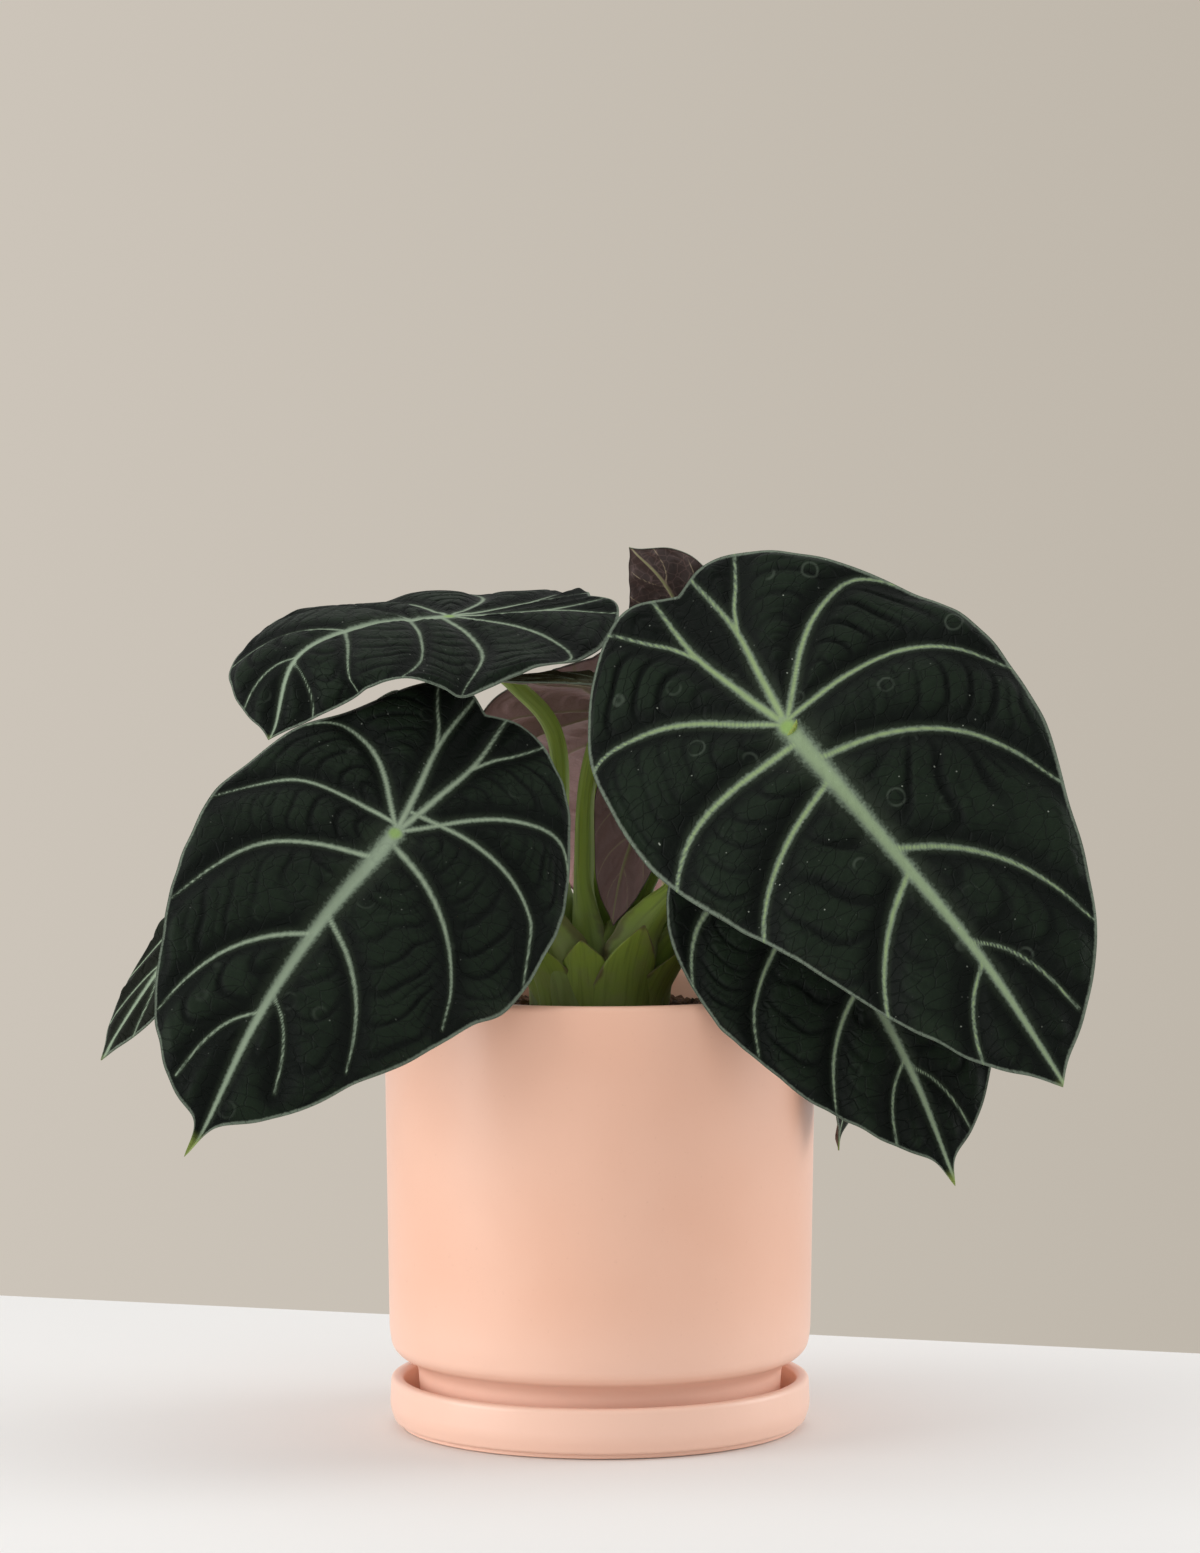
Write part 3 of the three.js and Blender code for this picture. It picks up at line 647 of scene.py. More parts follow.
def perlite_material():
    """Perlite: off-white foamed grains."""
    shader = Shader("perlite_bits", Specular_IOR_Level=0.3)
    where = shader.place()
    pits = shader.cells(where, 900.0)
    color = shader.mix(pits.step(0.1, 0.6), linear(196, 186, 170), linear(232, 226, 214))
    return shader.finish(color, 0.85 + pits * 0.1, shader.bump(pits, 0.0004, 0.8))


def floor_material(settings):
    """Plain pale tabletop."""
    shader = Shader("studio_floor", Specular_IOR_Level=0.2)
    tone = shader.noise(shader.place(), 6.0, 2.0)
    color = shader.mix(tone, tuple(settings.floor), linear(236, 235, 233))
    return shader.finish(color, 0.8 + tone * 0.05)


def studio_light(colours):
    """A plain wall with painted light, paler to one side where it is seen, and an even neutral room light."""
    world = bpy.data.worlds.new("studio")
    world.use_nodes = True
    nodes = Nodes(world.node_tree)
    where = nodes.node("ShaderNodeTexCoord").outputs["Generated"]
    split = nodes.node("ShaderNodeSeparateXYZ", None, Vector=where)
    ramp = nodes.node(
        "ShaderNodeMapRange", None, Value=split.outputs["X"], From_Min=WALL_TURN[0], From_Max=WALL_TURN[1]
    )
    # Painted light: the wall seen by the camera is paler on the left, where the light falls, and darker on
    # the right.
    wall = nodes.mix(ramp.outputs[0], tuple(colours.wall), tuple(colours.wall_far))
    seen = nodes.node("ShaderNodeLightPath").outputs["Is Camera Ray"]
    either = nodes.mix(seen, tuple(colours.ambient), wall)
    nodes.put(nodes.tree.nodes["Background"].inputs["Color"], either)
    return world


# ---------------------------------------------------------------------------------------------
# Leaves


def outline(leaf, count):
    """The closed margin, even spaced: down the right half from notch to tip, and back up the left.

    A drip draws the tip out and slims the point before it.
    """
    halves = []
    for side, width, sign in (("right", leaf["width"][0], 1), ("left", leaf["width"][1], -1)):
        points = np.array(leaf[side], float)
        points[:, 0] *= sign * width
        points[:, 1] = np.where(points[:, 1] < 0, points[:, 1] * leaf["lobe"], points[:, 1])
        points[-1, 1] += leaf["drip"]
        points[-2, 0] *= 1 - 6 * leaf["drip"]
        halves.append(even(through(points, np.linspace(0, len(points) - 1, 600)), count))
    margin = np.vstack([halves[0], halves[1][::-1][1:-1]])
    uneven = 0.006 * wobble(margin, 16.0, len(leaf["name"])) + 0.003 * wobble(margin, 44.0, 2)
    return margin * (1 + uneven * smooth(1.0, 0.9, margin[:, 1]))[:, None]


def midrib_frame(leaf, along):
    """Point, direction, face and side of the midrib at each station.

    The point runs on the Catmull-Rom curve through the five midrib points; beyond the tip it goes
    on straight.  The face is the facing direction less its part along the midrib.
    """
    points = np.array(leaf["midrib"], float) * MM
    t = np.interp(along, MIDRIB_STATIONS, np.arange(len(MIDRIB_STATIONS)))
    step = 1e-3
    direction = unit(through(points, t + step) - through(points, t - step))
    beyond = along - np.clip(along, MIDRIB_STATIONS[0], MIDRIB_STATIONS[-1])
    point = through(points, t) + (leaf["length"] * MM * beyond)[..., None] * direction
    facing = np.array(leaf["facing"], float)
    face = unit(facing - (direction @ facing)[..., None] * direction)
    return point, direction, face, np.cross(direction, face)


def on_blade(leaf, flat, height):
    """A point of the blade: each side bends down as an arc, and the margin ripples as a sine.

    A drip tip curls towards the upper face, as the power 1.4 of the distance past 0.98 lengths.
    """
    across, along = flat[..., 0], flat[..., 1]
    length = leaf["length"] * MM
    point, _, face, side = midrib_frame(leaf, along)
    curl = np.where(across > 0, *leaf["curl"])
    size, waves, start = leaf["ruffle"]
    out = np.hypot(across / 0.46, (along - 0.28) / 0.72)
    ripple = size * np.minimum(out, 1.2) ** 4 * np.sin(waves * np.arctan2(across, along - 0.2) + start)
    sideways = np.sin(curl * across) / curl
    drop = (1 - np.cos(curl * across)) / curl
    curled = leaf["drip"] * 13 * np.maximum(along - 0.98, 0) ** 1.4
    rise = length * (ripple - drop + curled) + height
    return point + (length * sideways)[..., None] * side + rise[..., None] * face


def vein_fields(leaf, flat):
    """How deep each point lies in a vein, and how it is placed between the side veins.

    vein is 1 on a centre line, 0 at the vein's edge and negative outside; middle is the same for
    the midrib alone; quilt is 1 on the swells and falls to 0 in creases that run as arcs round a
    centre which moves down the midrib, bent outwards between the veins; puff is 0 on the veins
    and rises to 1 away from them.
    """
    across, along = flat[..., 0], flat[..., 1]
    widths = np.array(MIDRIB_WIDTHS)
    bow = 0.006 * np.sin(along * 5)
    half = np.interp(along, widths[:, 0], widths[:, 1])
    middle = np.where(along > -0.03, 1 - np.abs(across - bow) / half, -3.0)
    vein = middle.copy()
    nearest = np.abs(across)
    for side, sign in enumerate((1, -1)):
        own = across * sign >= -0.03
        mine, place_mine = flat[own], np.flatnonzero(own)
        for number, (wide, narrow, points) in enumerate(SIDE_VEINS):
            line = np.array(points, float)
            if number >= JOINT_VEINS:
                line[:, 1] += leaf["shift"][side]
            line[:, 0] *= sign * leaf["width"][side]
            line[:, 1] = np.where(line[:, 1] < 0, line[:, 1] * leaf["lobe"], line[:, 1])
            samples = through(line, np.linspace(0, len(line) - 1, 90))
            gap = np.hypot(mine[:, 0, None] - samples[:, 0], mine[:, 1, None] - samples[:, 1])
            which = gap.argmin(axis=1)
            distance = gap.min(axis=1)
            share = which / (len(samples) - 1)
            width = wide + (narrow - wide) * share
            vein[place_mine] = np.maximum(vein[place_mine], 1 - distance / width)
            nearest[place_mine] = np.minimum(nearest[place_mine], distance)
    puff = 1 - np.exp(-((nearest / 0.04) ** 2))
    centre = np.clip(0.6 * (along - 0.2 - 0.2 * np.abs(across)), 0, 0.7)
    seed = len(leaf["name"])
    bend = 0.035 * puff + 0.016 * wobble(flat, 13.0, seed) + 0.007 * wobble(flat, 37.0, seed + 1)
    phase = (np.hypot(across, along - centre) - bend) / ARC_PITCH
    strength = np.clip(0.62 + 0.5 * wobble(flat, 11.0, seed + 2), 0.15, 1)
    crease = np.exp(-(((phase % 1 - 0.5) / 0.12) ** 2)) * strength
    second = np.exp(-(((phase * 1.9 + 0.3) % 1 - 0.5) ** 2) / 0.02)
    second = second * np.clip(wobble(flat, 17.0, seed + 3), 0, 1)
    quilt = puff * (1 - crease) * (1 - 0.45 * second)
    return dict(vein=np.maximum(vein, -3), middle=np.maximum(middle, -3), quilt=quilt, puff=puff)


def blade(leaf, settings, materials):
    """A closed thin shell on spokes and rings round the stalk joint.

    Upper side: the curved blade plus a swell between the veins and small arcs across it.
    Underside: the curved blade less its thickness and less a rib along every vein.
    """
    length = leaf["length"] * MM
    per_side = max(int(settings.spokes * leaf["detail"]), LEAST_SPOKES)
    rings = max(int(settings.rings * leaf["detail"]), LEAST_RINGS)
    margin = outline(leaf, per_side)
    spokes = len(margin)
    share = np.linspace(0, 1, rings + 1)[1:] ** 0.9
    flat = np.vstack([[[0.0, 0.0]], (share[:, None, None] * margin[None]).reshape(-1, 2)])
    edge = np.concatenate([[1], np.repeat(1 - share, spokes)])
    reach = np.concatenate([[0.1], np.tile(np.linalg.norm(margin, axis=1), rings)])
    fields = vein_fields(leaf, flat)
    thin = settings.thickness * smooth(0, 0.05, edge) + settings.margin_thickness
    from_joint = np.linalg.norm(flat, axis=1)
    inner = smooth(0, 0.06, edge) * smooth(0.03, 0.12, from_joint)
    broad = wobble(flat, 9.0, len(leaf["name"])) * 0.006
    relief = settings.swell * fields["puff"] + settings.pleat * (fields["quilt"] - 0.6) + broad
    swell = length * inner * relief
    scale = length / RIB_BLADE
    rib = np.clip(fields["vein"] + 0.5, 0, 1.5) * 0.5 * MM * scale
    rib += np.clip(fields["middle"], 0, 1) ** 0.5 * 1.5 * MM * scale * smooth(1.05, 0.3, flat[:, 1])
    upper = on_blade(leaf, flat, swell + thin / 2)
    lower = on_blade(leaf, flat, swell - thin / 2 - rib * smooth(0, 0.12, edge))
    count = len(flat)
    ring_quads = grid_faces(rings, spokes, 1)
    first_ring = 1 + np.arange(spokes)
    last_ring = 1 + (rings - 1) * spokes + np.arange(spokes)
    following = np.roll(last_ring, -1)
    lip = np.stack([last_ring, last_ring + count, following + count, following], axis=-1)
    quads = np.vstack([ring_quads[:, ::-1], ring_quads + count, lip[:, ::-1]])
    triangles = np.vstack([fan(0, first_ring), fan(count, first_ring + count, flip=True)])
    indices = np.concatenate([
        np.zeros(len(ring_quads)), np.ones(len(ring_quads)), np.zeros(len(lip)),
        np.zeros(spokes), np.ones(spokes),
    ])
    offset = 0.3 * len(leaf["name"]) + length
    texture = np.column_stack([flat * length, np.full(count, offset)])
    one_side = {
        "flat": texture,
        "vein": fields["vein"],
        "middle": fields["middle"],
        "quilt": fields["quilt"],
        "hub": np.exp(-((np.linalg.norm(flat - [0, 0.004], axis=1) / 0.022) ** 2)),
        "tip": smooth(0.985, 1.03, flat[:, 1]),
        "margin": 1 - np.clip(edge * reach / 0.016, 0, 1),
    }
    for key in ("fresh", "pale", "warm", "marks"):
        one_side[key] = np.full(count, leaf[key])
    attributes = {key: np.concatenate([values, values]) for key, values in one_side.items()}
    shell = np.vstack([upper, lower])
    piece = build(f"leaf_blade_{leaf['name']}", shell, quads, triangles, materials, indices, attributes)
    fit(piece, "blade", f"blade_{leaf['name']}")


def stalk(leaf, settings, material):
    """A tapering stalk on a curve, with a sheath that clasps inwards at its foot.

    Round the stalk, at angle a from its outward side, the skin lies at (r + w) sin a sideways and
    r cos a - c sin^2 a outwards, where w and c grow from nothing at the sheath's top to its foot.
    The inner side of the sheath is flattened, and its edges are slightly notched.
    """
    point, _, face, _ = midrib_frame(leaf, np.array([0.0]))
    foot, *rest = leaf["stalk"]
    start = np.array([foot[0] * MM, foot[1] * MM, CROWN_HIGH.z - STALK_SEAT])
    way = np.vstack([start, np.array(rest, float) * MM, point - face * STALK_TURN, point - face * STALK_END])
    rows, columns = 120, 40
    path = even(through(way, np.linspace(0, len(way) - 1, 700)), rows)
    along = unit(np.gradient(path, axis=0))
    outward = unit(np.array([path[0, 0] - 0.002, path[0, 1] + 0.001, 0.0]))
    out = unit(outward - (along @ outward)[:, None] * along)
    across = np.cross(along, out)
    u = np.linspace(0, 1, rows)
    height = path[:, 2] - CROWN_HIGH.z
    top = settings.sheath_height * (0.85 + 0.3 * np.random.default_rng(len(leaf["name"])).random())
    sheath = smooth(top, top * 0.3, height)
    foot_radius, top_radius = STALK_RADII
    radius = (foot_radius + (top_radius - foot_radius) * np.sqrt(u)) * MM
    radius = radius + STALK_FLARE * smooth(0.965, 1.0, u)
    angle = np.linspace(0, 2 * np.pi, columns, endpoint=False)
    s, c = np.sin(angle)[None, :], np.cos(angle)[None, :]
    wing = (settings.sheath_width * sheath)[:, None]
    clasp = (settings.sheath_clasp * sheath)[:, None]
    r = radius[:, None]
    nick = 0.0004 * np.sin(height * 900)[:, None] * sheath[:, None] * np.abs(s) ** 6
    hollow = 1 - 0.55 * sheath[:, None] * (c < 0)
    x = (r + wing + nick) * s
    y = r * c * hollow - clasp * s**2
    skin = path[:, None] + x[..., None] * across[:, None] + y[..., None] * out[:, None]
    vertices = np.vstack([skin.reshape(-1, 3), path[0], path[-1]])
    quads = grid_faces(rows, columns)
    low, high = rows * columns, rows * columns + 1
    triangles = np.vstack([
        fan(low, np.arange(columns), flip=True),
        fan(high, (rows - 1) * columns + np.arange(columns)),
    ])
    lengthwise = np.linspace(0, np.linalg.norm(np.diff(path, axis=0), axis=1).sum(), rows)
    seed = 0.1 * len(leaf["name"]) + leaf["length"] * MM
    skin_place = np.broadcast_arrays(angle[None] * 0.004, lengthwise[:, None], seed)
    flat = np.stack(skin_place, axis=-1).reshape(-1, 3)
    attributes = {"flat": np.vstack([flat, [0, 0, seed], [0, lengthwise[-1], seed]])}
    for key, grid, at_ends in (
        ("up", u[:, None], [0, 1]), ("sheath", sheath[:, None], [1, 0]), ("edge", np.abs(s), [0, 0]),
    ):
        attributes[key] = np.append(np.broadcast_to(grid, (rows, columns)).ravel(), at_ends)
    piece = build(f"leaf_stalk_{leaf['name']}", vertices, quads, triangles, [material], None, attributes)
    fit(piece, "stalk", f"stalk_{leaf['name']}")


def bracts(material):
    """Old leaf bases: each a blade that leans outwards, tapers to a point and clasps inwards.

    At height share t the half width is w (1 - t^2.2), the middle lies lean t^1.6 out, and the
    surface falls back towards the crown as the square of its place across.
    """
    rows, columns = 40, 20
    t, a = np.meshgrid(np.linspace(0, 1, rows), np.linspace(-1, 1, columns), indexing="ij")
    points, quads, ups, edges, flats = [], [], [], [], []
    count = rows * columns
    faces = grid_faces(rows, columns, closed=False)
    corner = np.arange(count).reshape(rows, columns)
    rim = np.concatenate([corner[0], corner[1:, -1], corner[-1, -2::-1], corner[-2:0:-1, 0]])
    lip = np.stack([rim, rim + count, np.roll(rim, -1) + count, np.roll(rim, -1)], axis=-1)
    for number, (degrees, height, half, lean) in enumerate(BRACTS):
        turn = math.radians(degrees)
        out = np.array([math.cos(turn), math.sin(turn), 0.0])
        side = np.array([-math.sin(turn), math.cos(turn), 0.0])
        width = half * MM * (1 - 0.97 * t**2.2) * (1 + 0.05 * np.sin(9 * t + number))
        start_out = (20.5 + 1.3 * (number % 2)) * MM
        reach = start_out + height * MM * lean * t**1.6 + 0.5 * MM * np.sin(5 * t + number)
        clasp = 0.42 * width * a**2 * (1.3 - t)
        for layer in (1, -1):
            skin = layer * BRACT_SKIN * (1 - 0.8 * t) * (1 - 0.7 * a**2)
            away = reach - clasp + skin - 2 * MM
            spot = away[..., None] * out + (a * width)[..., None] * side
            spot[..., 2] = CROWN_HIGH.z - BRACT_SEAT + height * MM * t
            points.append(spot.reshape(-1, 3))
            ups.append(0.12 + 0.3 * t.ravel())
            edges.append(np.maximum(np.abs(a), t**3).ravel())
            flats.append(np.stack([a * width, t * height * MM, 0 * t + number], axis=-1).reshape(-1, 3))
        start = 2 * count * number
        quads += [faces + start, faces[:, ::-1] + start + count, lip + start]
    attributes = {
        "flat": np.vstack(flats), "up": np.concatenate(ups), "edge": np.concatenate(edges),
        "sheath": np.ones(2 * count * len(BRACTS)),
    }
    piece = build("leaf_base_bracts", np.vstack(points), np.vstack(quads), [], [material], None, attributes)
    fit(piece, "stalk")


# ---------------------------------------------------------------------------------------------
# Soil


def lumps(name, centres, sizes, seed, material):
    """Small stones: octahedra cut once into 32 faces, pushed to a ball, stretched and turned."""
    rng = np.random.default_rng(seed)
    corners = np.array([(1, 0, 0), (-1, 0, 0), (0, 1, 0), (0, -1, 0), (0, 0, 1), (0, 0, -1)], float)
    sides = [(0, 2, 4), (2, 1, 4), (1, 3, 4), (3, 0, 4), (2, 0, 5), (1, 2, 5), (3, 1, 5), (0, 3, 5)]
    points, faces = [tuple(p) for p in corners], []
    for a, b, c in sides:
        middles = []
        for p, q in ((a, b), (b, c), (c, a)):
            spot = tuple(unit(corners[p] + corners[q]))
            if spot not in points:
                points.append(spot)
            middles.append(points.index(spot))
        ab, bc, ca = middles
        faces += [(a, ab, ca), (ab, b, bc), (ca, bc, c), (ab, bc, ca)]
    ball, faces = np.array(points), np.array(faces)
    count = len(centres)
    rough = ball[None] * rng.uniform(0.72, 1.2, (count, len(ball), 1))
    rough = rough * rng.uniform(0.55, 1.25, (count, 1, 3)) * sizes[:, None, None]
    turns = np.linalg.qr(rng.normal(size=(count, 3, 3)))[0]
    turns *= np.sign(np.linalg.det(turns))[:, None, None]
    placed = rough @ turns + centres[:, None]
    triangles = (faces[None] + (np.arange(count) * len(ball))[:, None, None]).reshape(-1, 3)
    tone = np.repeat(rng.random(count), len(ball))
    return build(name, placed.reshape(-1, 3), [], triangles, [material], None, {"tone": tone})


def soil_height(x, y):
    """Height of the mix: a low mound towards the crown with seeded small waves."""
    r = np.hypot(x, y)
    mound = SOIL_MOUND * smooth(0.75, 0.45, r / SOIL_HIGH.x)
    return SOIL_HIGH.z - SOIL_SINK + mound + SOIL_WAVES * wobble(np.stack([x, y], axis=-1), 420.0, 3)


# ---------------------------------------------------------------------------------------------
# The add-on


def length_property(name, description, default):
    """A length that a user can change, in metres."""
    kind = dict(unit="LENGTH", subtype="DISTANCE")
    return FloatProperty(name=name, description=description, default=default, **kind)


def share_property(name, description, default):
    """A share that a user can change."""
    return FloatProperty(name=name, description=description, default=default, precision=4, subtype="FACTOR")


def colour_property(name, description, default):
    """A colour that a user can change."""
    return FloatVectorProperty(name=name, description=description, default=default, size=3, subtype="COLOR")


def count_property(name, description, default, least=0):
    """A whole number that a user can change."""
    return IntProperty(name=name, description=description, default=default, min=least)


class AlocasiaSizes(bpy.types.PropertyGroup):
    """Sizes of the pieces."""

    spokes: count_property("Spokes", "Mesh spokes in each half of a blade", 240, LEAST_SPOKES)
    rings: count_property("Rings", "Mesh rings of a blade", 102, LEAST_RINGS)
    thickness: length_property("Blade thickness", "Added to the margin's thickness inside a blade", 0.0006)
    margin_thickness: length_property("Margin thickness", "Thickness of a blade at its margin", 0.0004)
    swell: share_property("Swell", "Rise between the veins, in blade lengths", 0.014)
    pleat: share_property("Pleat", "Height of the small arcs, in blade lengths", 0.0095)
    sheath_height: length_property("Sheath height", "Rough height of a sheath above the crown", 0.036)
    sheath_width: length_property("Sheath width", "How far a sheath stands out at each side", 0.0052)
    sheath_clasp: length_property("Sheath clasp", "How far the sides of a sheath reach inwards", 0.0055)
    pot_wall: length_property("Pot wall", "Thickness of the pot's wall", 0.005)
    pot_floor: length_property("Pot floor", "Inside floor of the pot above its foot", 0.008)
    pot_taper: length_property("Pot taper", "How much slimmer the body is at its lower edge", 0.0015)
    pot_edge: length_property("Lower edge height", "From the foot up to the lower edge of the body", 0.0155)
    pot_round: length_property("Lower edge rounding", "Height of the rounded lower edge", 0.0085)
    foot_inset: length_property("Foot inset", "How far the foot stands behind the rim", 0.0105)
    drain_radius: length_property("Drain hole radius", "Radius of the hole in the pot's floor", 0.006)
    bark_count: count_property("Bark bits", "Number of bark bits on the mix", 1500)
    perlite_count: count_property("Perlite bits", "Number of perlite bits on the mix", 170)


class AlocasiaColours(bpy.types.PropertyGroup):
    """Colours of the materials."""

    glaze: colour_property("Glaze", "Glaze of the pot and saucer", linear(239, 190, 165))
    glaze_deep: colour_property("Deep glaze", "Glaze where it is a little thicker", linear(236, 185, 159))
    # The dark leaf colour is the blade's own and stays in the hollows; the swell colour is a painted
    # highlight with random tone.
    leaf_dark: colour_property("Leaf", "Upper side in the hollows", linear(7, 13, 8))
    leaf_highlight_and_tone: colour_property("Leaf swells", "Upper side between the veins", linear(23, 34, 22))
    vein: colour_property("Veins", "Edges of the veins on the upper side", linear(108, 122, 104))
    underside: colour_property("Underside", "Underside of the blades", linear(48, 36, 33))
    stalk: colour_property("Stalk", "Stalks above their sheaths", linear(146, 172, 62))
    soil: colour_property("Soil", "Lighter crumbs and bark of the mix", linear(107, 78, 58))
    floor: colour_property("Floor", "Tabletop", linear(233, 232, 230))
    # The two background colours hold painted light: paler on the left, darker on the right.
    wall: colour_property("Background left", "Left side of the background", linear(204, 196, 185))
    wall_far: colour_property("Background right", "Right side of the background", linear(191, 183, 171))
    ambient: colour_property("Room light", "Even light from all round", (0.72, 0.715, 0.71))


class ALOCASIA_OT_pot(bpy.types.Operator):
    """Add the glazed pot and its saucer"""

    bl_idname = "alocasia.pot"
    bl_label = "Pot and Saucer"

    def execute(self, context):
        sizes, colours = context.scene.alocasia_sizes, context.scene.alocasia_colours
        material = glaze_material(colours)
        base, rim = POT_LOW.z, POT_HIGH.z
        foot, low = RIM_RADIUS - sizes.foot_inset, RIM_RADIUS - sizes.pot_taper
        edge, inner = base + sizes.pot_edge, RIM_RADIUS - sizes.pot_wall
        top = edge + sizes.pot_round
        floor, drain = base + sizes.pot_floor, sizes.drain_radius
        corners = [
            (drain, base + FOOT_RECESS), (foot - FOOT_RING, base + FOOT_RECESS),
            (foot - 4 * MM, base), (foot - 1 * MM, base),
            (foot - 0.2 * MM, base + 4 * MM), (foot + 0.4 * MM, edge - 3 * MM),
            (foot + 2.6 * MM, edge - 0.4 * MM), (low - 3.4 * MM, edge + 0.6 * MM),
            (low - 0.8 * MM, edge + sizes.pot_round * 0.4), (low, top),
            (RIM_RADIUS - 0.05 * MM, rim - RIM_BAND), (RIM_RADIUS, rim), (inner, rim),
            (inner, rim - RIM_BAND), (low - sizes.pot_wall, top), (low - sizes.pot_wall - 6 * MM, floor),
            (drain, floor),
        ]
        profile = rounded(corners, POT_ROUNDING, PROFILE_STEPS)
        fit(turned("glazed_pot", profile, material), "glaze", "pot")
        outer, height, wall = SAUCER_RIM.x, SAUCER_RIM.z, SAUCER_WALL
        corners = [
            (0, 0), (outer - 3 * MM, 0), (outer - 3 * MM, SAUCER_STEP),
            (outer - 1.1 * MM, SAUCER_STEP + 0.4 * MM), (outer + 0.4 * MM, 6 * MM),
            (outer, height), (outer - wall + 0.3 * MM, height),
            (outer - wall - 0.8 * MM, SAUCER_FLOOR + 1 * MM), (outer - wall - 3 * MM, SAUCER_FLOOR),
            (0, SAUCER_FLOOR),
        ]
        dish = rounded(corners, SAUCER_ROUNDING, PROFILE_STEPS)
        fit(turned("glazed_saucer", dish, material), "glaze", "saucer")
        return {"FINISHED"}


class ALOCASIA_OT_soil(bpy.types.Operator):
    """Add the potting mix with its bark and perlite bits"""

    bl_idname = "alocasia.soil"
    bl_label = "Potting Mix"

    def execute(self, context):
        sizes, colours = context.scene.alocasia_sizes, context.scene.alocasia_colours
        rings, segments = 60, 200
        radius = SOIL_HIGH.x
        angle = np.linspace(0, 2 * np.pi, segments, endpoint=False)
        r = np.linspace(0, 1, rings + 1)[1:, None] * radius
        x, y = (r * np.cos(angle)).ravel(), (r * np.sin(angle)).ravel()
        x, y = np.append(x, 0), np.append(y, 0)
        surface = np.column_stack([x, y, soil_height(x, y)])
        rim = surface[(rings - 1) * segments : rings * segments]
        middle = [0, 0, SOIL_LOW.z + SOIL_LIFT]
        under = rim * [SOIL_UNDERSIDE, SOIL_UNDERSIDE, 0] + middle
        vertices = np.vstack([surface, under, middle])
        centre, outer = rings * segments, (rings - 1) * segments + np.arange(segments)
        lower = rings * segments + 1 + np.arange(segments)
        wall = np.stack([lower, np.roll(lower, -1), np.roll(outer, -1), outer], axis=-1)
        quads = np.vstack([grid_faces(rings, segments)[:, ::-1], wall])
        triangles = np.vstack([fan(centre, np.arange(segments)), fan(len(vertices) - 1, lower, flip=True)])
        body = build("potting_mix_body", vertices, quads, triangles, [soil_material(colours)])
        fit(body, "potting_mix", "potting_mix")
        rng = np.random.default_rng(BITS_SEED)
        # Name, how many, least and greatest size in millimetres, seed, material.
        for name, amount, least, most, seed, material in (
            ("bark_bits", sizes.bark_count, 0.7, 2.6, 5, bark_material(colours)),
            ("perlite_bits", sizes.perlite_count, 0.7, 1.7, 6, perlite_material()),
        ):
            away = np.sqrt(rng.uniform(*BITS_AREA, amount)) * radius
            turn = rng.uniform(0, 2 * np.pi, amount)
            size = rng.uniform(least, most, amount) * MM
            px, py = away * np.cos(turn), away * np.sin(turn)
            centres = np.column_stack([px, py, soil_height(px, py) + 0.3 * size])
            fit(lumps(name, centres, size, seed, material), "potting_mix")
        return {"FINISHED"}


class ALOCASIA_OT_crown(bpy.types.Operator):
    """Add the rootstock that the stalks rise from"""

    bl_idname = "alocasia.crown"
    bl_label = "Rootstock"

    def execute(self, context):
        reach, top = CROWN_HIGH.x, CROWN_HIGH.z
        profile = rounded([
            (0, CROWN_LOW.z), (reach - 4 * MM, CROWN_LOW.z), (reach, CROWN_LOW.z + 5 * MM),
            (reach, top - 4 * MM), (reach - 4 * MM, top - 0.6 * MM), (0, top - 1 * MM),
        ], 3 * MM, 8)
        fit(turned("rootstock", profile, crown_material(), 96), "crown", "crown")
        return {"FINISHED"}


class ALOCASIA_OT_stalks(bpy.types.Operator):
    """Add the ten sheathed leaf stalks and the old leaf bases"""

    bl_idname = "alocasia.stalks"
    bl_label = "Leaf Stalks"

    def execute(self, context):
        sizes, colours = context.scene.alocasia_sizes, context.scene.alocasia_colours
        material = stalk_material(colours)
        for leaf in LEAVES:
            stalk(leaf, sizes, material)
        bracts(material)
        return {"FINISHED"}


class ALOCASIA_OT_blades(bpy.types.Operator):
    """Add the ten leaf blades"""

    bl_idname = "alocasia.blades"
    bl_label = "Leaf Blades"

    def execute(self, context):
        sizes, colours = context.scene.alocasia_sizes, context.scene.alocasia_colours
        materials = [upper_material(colours), under_material(colours)]
        for leaf in LEAVES:
            blade(leaf, sizes, materials)
        return {"FINISHED"}


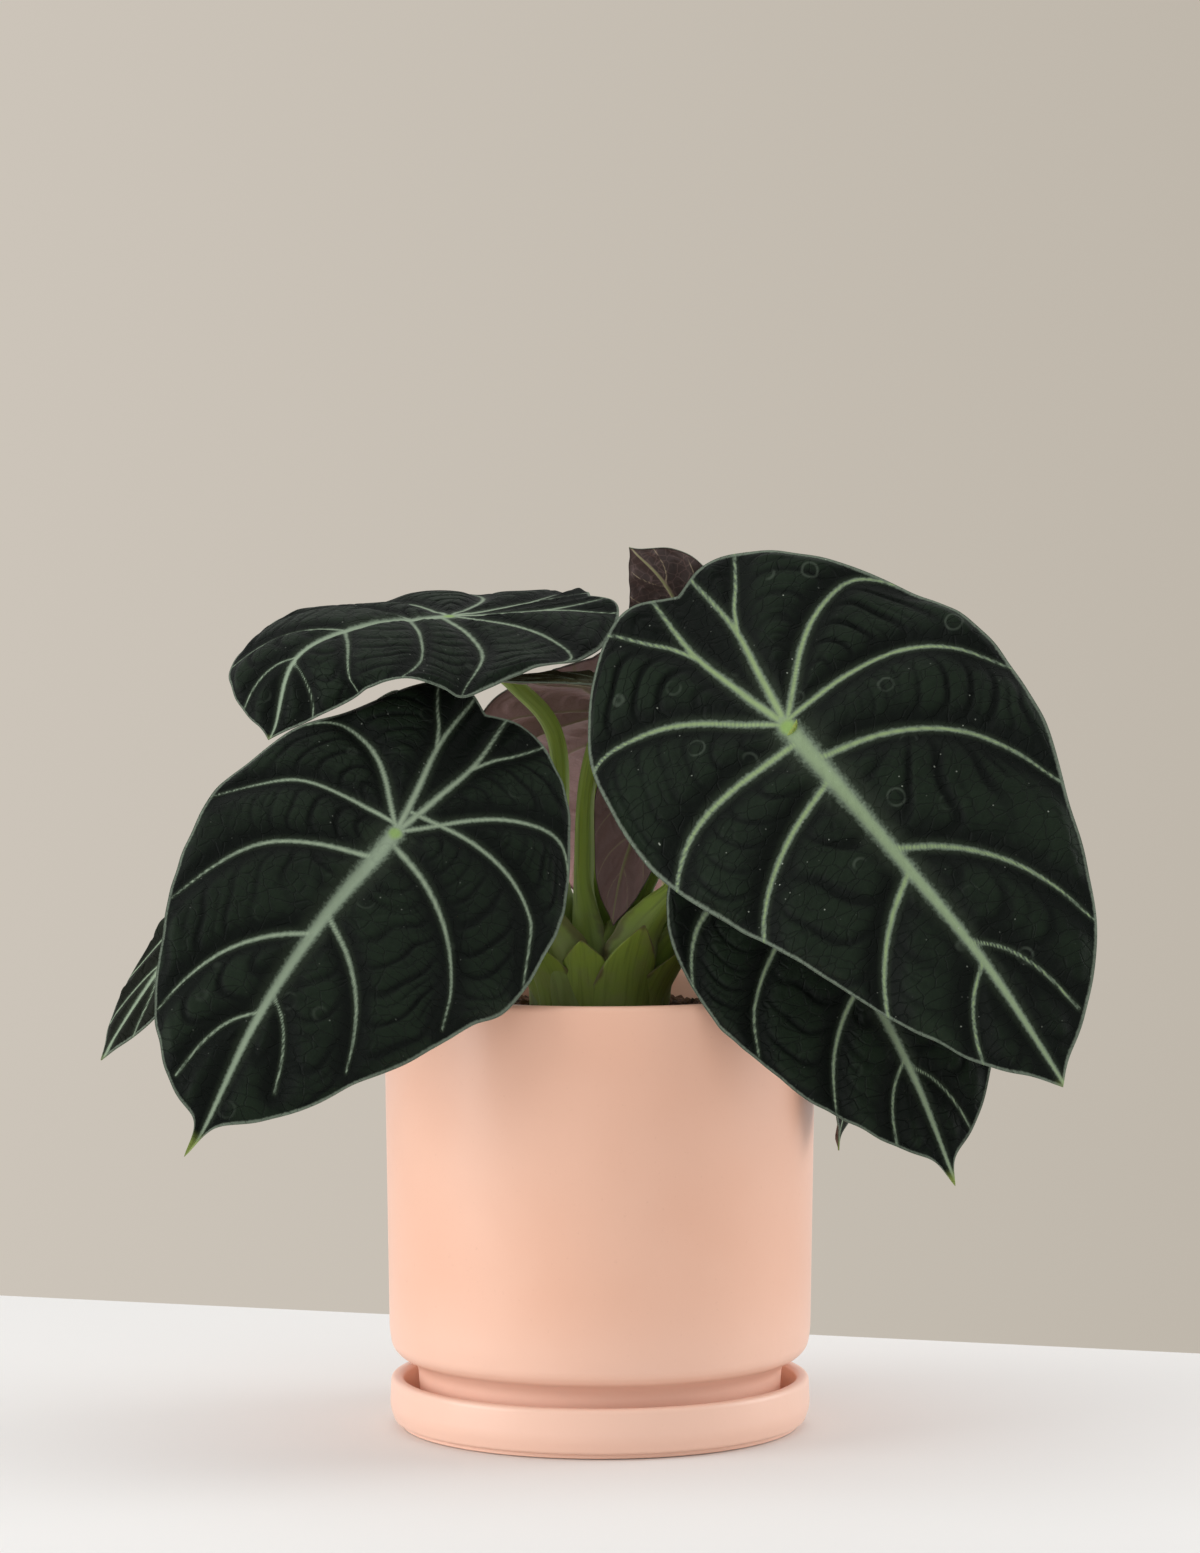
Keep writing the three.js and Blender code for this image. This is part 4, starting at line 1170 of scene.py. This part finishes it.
class ALOCASIA_OT_stage(bpy.types.Operator):
    """Add the floor, the soft lights, the background and the camera"""

    bl_idname = "alocasia.stage"
    bl_label = "Studio"

    def execute(self, context):
        scene, colours = context.scene, context.scene.alocasia_colours
        slab = [(x, y, z) for z in TABLE_LEVELS for x, y in TABLE_CORNERS]
        quads = [(3, 2, 1, 0), (4, 5, 6, 7), (0, 1, 5, 4), (1, 2, 6, 5), (2, 3, 7, 6), (3, 0, 4, 7)]
        table = build("floor", slab, quads, [], [floor_material(colours)])
        table.data.shade_flat()
        scene.world = studio_light(colours)
        for name, spot, size, power in LAMPS:
            lamp = bpy.data.lights.new(name, "AREA")
            lamp.shape, lamp.size, lamp.energy = "DISK", size, power
            holder = bpy.data.objects.new(name, lamp)
            holder.location = spot
            holder.rotation_euler = (Vector(LAMP_AIM) - Vector(spot)).to_track_quat("-Z", "Y").to_euler()
            scene.collection.objects.link(holder)
        camera = bpy.data.cameras.new("camera")
        camera.sensor_width, camera.lens = CAMERA_SENSOR, CAMERA_LENS
        camera.clip_start, camera.clip_end = CAMERA_RANGE
        viewer = bpy.data.objects.new("camera", camera)
        viewer.location = CAMERA_PLACE
        viewer.rotation_euler = (Vector(CAMERA_AIM) - viewer.location).to_track_quat("-Z", "Y").to_euler()
        scene.collection.objects.link(viewer)
        scene.camera = viewer
        scene.view_settings.view_transform = "Standard"
        return {"FINISHED"}


class ALOCASIA_PT_panel(bpy.types.Panel):
    """Sizes, colours and one button for each group of pieces"""

    bl_label = "Potted Alocasia"
    bl_idname = "ALOCASIA_PT_panel"
    bl_space_type = "VIEW_3D"
    bl_region_type = "UI"
    bl_category = "Alocasia"

    def draw(self, context):
        for group in (context.scene.alocasia_sizes, context.scene.alocasia_colours):
            box = self.layout.box()
            for key in group.__annotations__:
                box.prop(group, key)
        for operator in OPERATORS:
            self.layout.operator(operator.bl_idname)


OPERATORS = (
    ALOCASIA_OT_pot,
    ALOCASIA_OT_soil,
    ALOCASIA_OT_crown,
    ALOCASIA_OT_stalks,
    ALOCASIA_OT_blades,
    ALOCASIA_OT_stage,
)
CLASSES = (AlocasiaSizes, AlocasiaColours, *OPERATORS, ALOCASIA_PT_panel)


def register():
    for each in CLASSES:
        bpy.utils.register_class(each)
    bpy.types.Scene.alocasia_sizes = PointerProperty(type=AlocasiaSizes)
    bpy.types.Scene.alocasia_colours = PointerProperty(type=AlocasiaColours)


def unregister():
    del bpy.types.Scene.alocasia_colours
    del bpy.types.Scene.alocasia_sizes
    for each in reversed(CLASSES):
        bpy.utils.unregister_class(each)


def main():
    """Registers the add-on and builds every piece in order."""
    register()
    for step in ("pot", "soil", "crown", "stalks", "blades", "stage"):
        getattr(bpy.ops.alocasia, step)()


if __name__ == "__main__":
    main()
